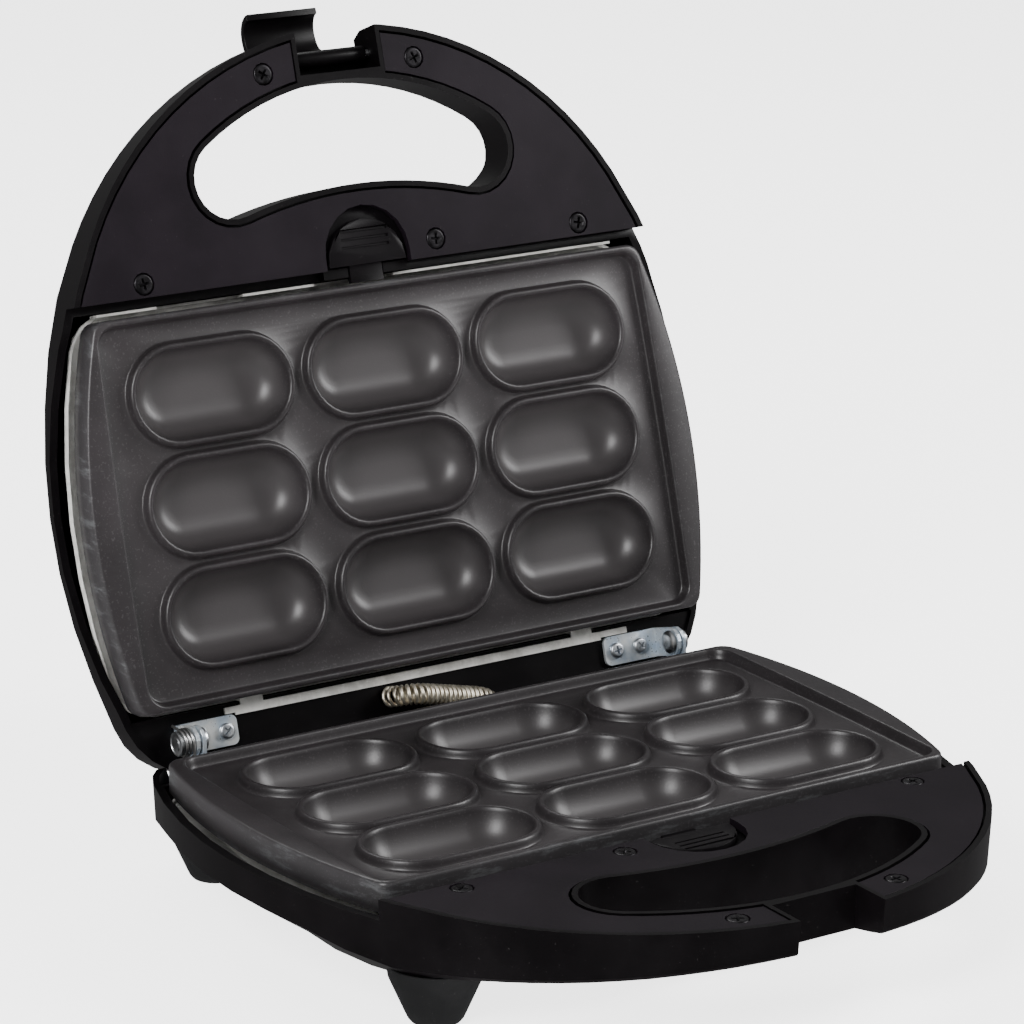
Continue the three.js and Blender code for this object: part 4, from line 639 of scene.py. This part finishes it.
# The sleeve's straight run between its two bends, which is where it turns as the lid closes
def sleeveRun():
    s = sleeveSizes
    high = Vector((s["lidX"] + s["bend"], s["outer"] / 2, -s["drop"]))
    low = Vector((s["baseX"] - s["bend"], s["outer"] / 2, s["drop"] - 2 * s["outer"]))
    return high, low


def sleeveRoute():
    s = sleeveSizes
    high, low = sleeveRun()
    reach = math.sqrt(s["deckRadius"] ** 2 - s["outer"] ** 2) - s["deckGap"]
    outward = Vector((0, math.sin(openAngle), math.cos(openAngle)))
    deckEnd = Vector((s["lidX"], 0, 0)) + outward * reach
    shelfEnd = Vector((s["baseX"], s["outer"] / 2, s["shelfZ"]))
    pull = (low - high).normalized() * s["pull"]
    upper = [deckEnd, deckEnd - outward * s["pull"], high - pull, high]
    lower = [low, low + pull, shelfEnd + Vector((0, 0, s["pull"])), shelfEnd]
    route = [cubic(*upper, i / s["bendSteps"]) for i in range(s["bendSteps"])]
    route += [high.lerp(low, i / s["runSteps"]) for i in range(s["runSteps"])]
    return route + [cubic(*lower, i / s["bendSteps"]) for i in range(s["bendSteps"] + 1)]


def sleeveCoil(route):
    s = sleeveSizes
    lengths = [0]
    for a, b in zip(route, route[1:]):
        lengths.append(lengths[-1] + (b - a).length)
    total = lengths[-1] - 2 * s["endGap"]
    count = round(total / s["pitch"]) * s["steps"]
    points, across, k = [], Vector((1, 0, 0)), 0
    for i in range(count + 1):
        at = s["endGap"] + total * i / count
        while k < len(lengths) - 2 and lengths[k + 1] < at:
            k += 1
        here = route[k].lerp(route[k + 1], (at - lengths[k]) / max(tiny, lengths[k + 1] - lengths[k]))
        tangent = (route[min(k + 2, len(route) - 1)] - route[max(k - 1, 0)]).normalized()
        across = (across - tangent * across.dot(tangent)).normalized()
        turn = 2 * math.pi * i / s["steps"]
        sideways = across * (s["coil"] * math.cos(turn))
        points.append(here + sideways + tangent.cross(across) * (s["coil"] * math.sin(turn)))
    return points


sleevePiece = woundWire("sleeveWire", sleeveCoil(sleeveRoute()), sleeveSizes["wire"], hingeFrame, "wire_conduit", 3)
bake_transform(sleevePiece)
print("springs and sleeve wound")

# Copies of the CAD shapes: facets merged, sharp edges rounded a little
copySizes = {"merge": 2e-6, "flatAngle": 0.6, "sharpAngle": 28, "heaterAngle": 40, "segments": 2}


def softened(node, width, before=None):
    c = copySizes
    shape = bmesh.new()
    shape.from_mesh(cadNodes[node].data)
    bmesh.ops.remove_doubles(shape, verts=shape.verts, dist=c["merge"])
    if "button" not in node:  # a button's face has recesses, so it keeps its facets
        bmesh.ops.dissolve_limit(shape, angle_limit=math.radians(c["flatAngle"]),
                                 verts=shape.verts, edges=shape.edges)
    if before:
        before(shape)
    angle = c["heaterAngle"] if "heater" in node else c["sharpAngle"]
    piece = finishPiece(shape, node + "_soft", Matrix.Identity(4), node, sharp=angle, copied=True)
    edge = piece.modifiers.new("roundedEdges", "BEVEL")
    edge.limit_method, edge.angle_limit = "ANGLE", math.radians(angle)
    edge.width, edge.segments, edge.profile = width * layout["mm"], c["segments"], 0.5
    edge.use_clamp_overlap, edge.harden_normals = True, True
    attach(piece, bodyOf[node])


# Hinge sheets: their free corners are rounded before the edges are softened
hingeSheetSizes = {"edge": 0.22, "cornerRadius": 2.1, "cornerSteps": 6, "leafReach": 70.2, "bracketReach": 70.6,
                   "thinnest": 1.0, "thickest": 1.4}


def cornerRounder(placed, reach):
    s, inverse = hingeSheetSizes, placed.inverted()

    def work(shape):
        picked = []
        for edge in shape.edges:  # the short upright edges at the sheet's inner end
            a, b = (inverse @ v.co for v in edge.verts)
            upright = (a - b).length < s["thickest"] and abs(a.z - b.z) > s["thinnest"]
            if upright and abs(a.x) < reach and abs(b.x) < reach:
                picked.append(edge)
        if picked:
            roundEdges(shape, picked, s["cornerRadius"] * layout["mm"], s["cornerSteps"])
    return work


for side in ("left", "right"):
    softened("hinge_leaf_" + side, hingeSheetSizes["edge"], cornerRounder(swing, hingeSheetSizes["leafReach"]))
    softened("hinge_bracket_" + side, hingeSheetSizes["edge"],
             cornerRounder(baseFrame, hingeSheetSizes["bracketReach"]))

# Casings, covers, trays and the small pieces: how far each one's edges are rounded
edgeWidths = {"base_housing": 0.42, "lid_housing": 0.42, "base_handle_cover": 0.3, "lid_handle_cover": 0.3,
              "base_reflector": 0.18, "lid_reflector": 0.18, "base_release_button": 0.3, "lid_release_button": 0.3,
              "base_heater": 0.3, "lid_heater": 0.3, "thermostat": 0.4, "thermal_fuse": 0.3, "terminal_block": 0.5,
              "cord_gland": 0.35, "indicator_lens_power": 0.4, "indicator_lens_ready": 0.4}
for node, width in edgeWidths.items():
    softened(node, width)
print("casings and small pieces softened")

print("CAD nodes still shown:", [n for n in cadNodes if not cadNodes[n].hide_render])
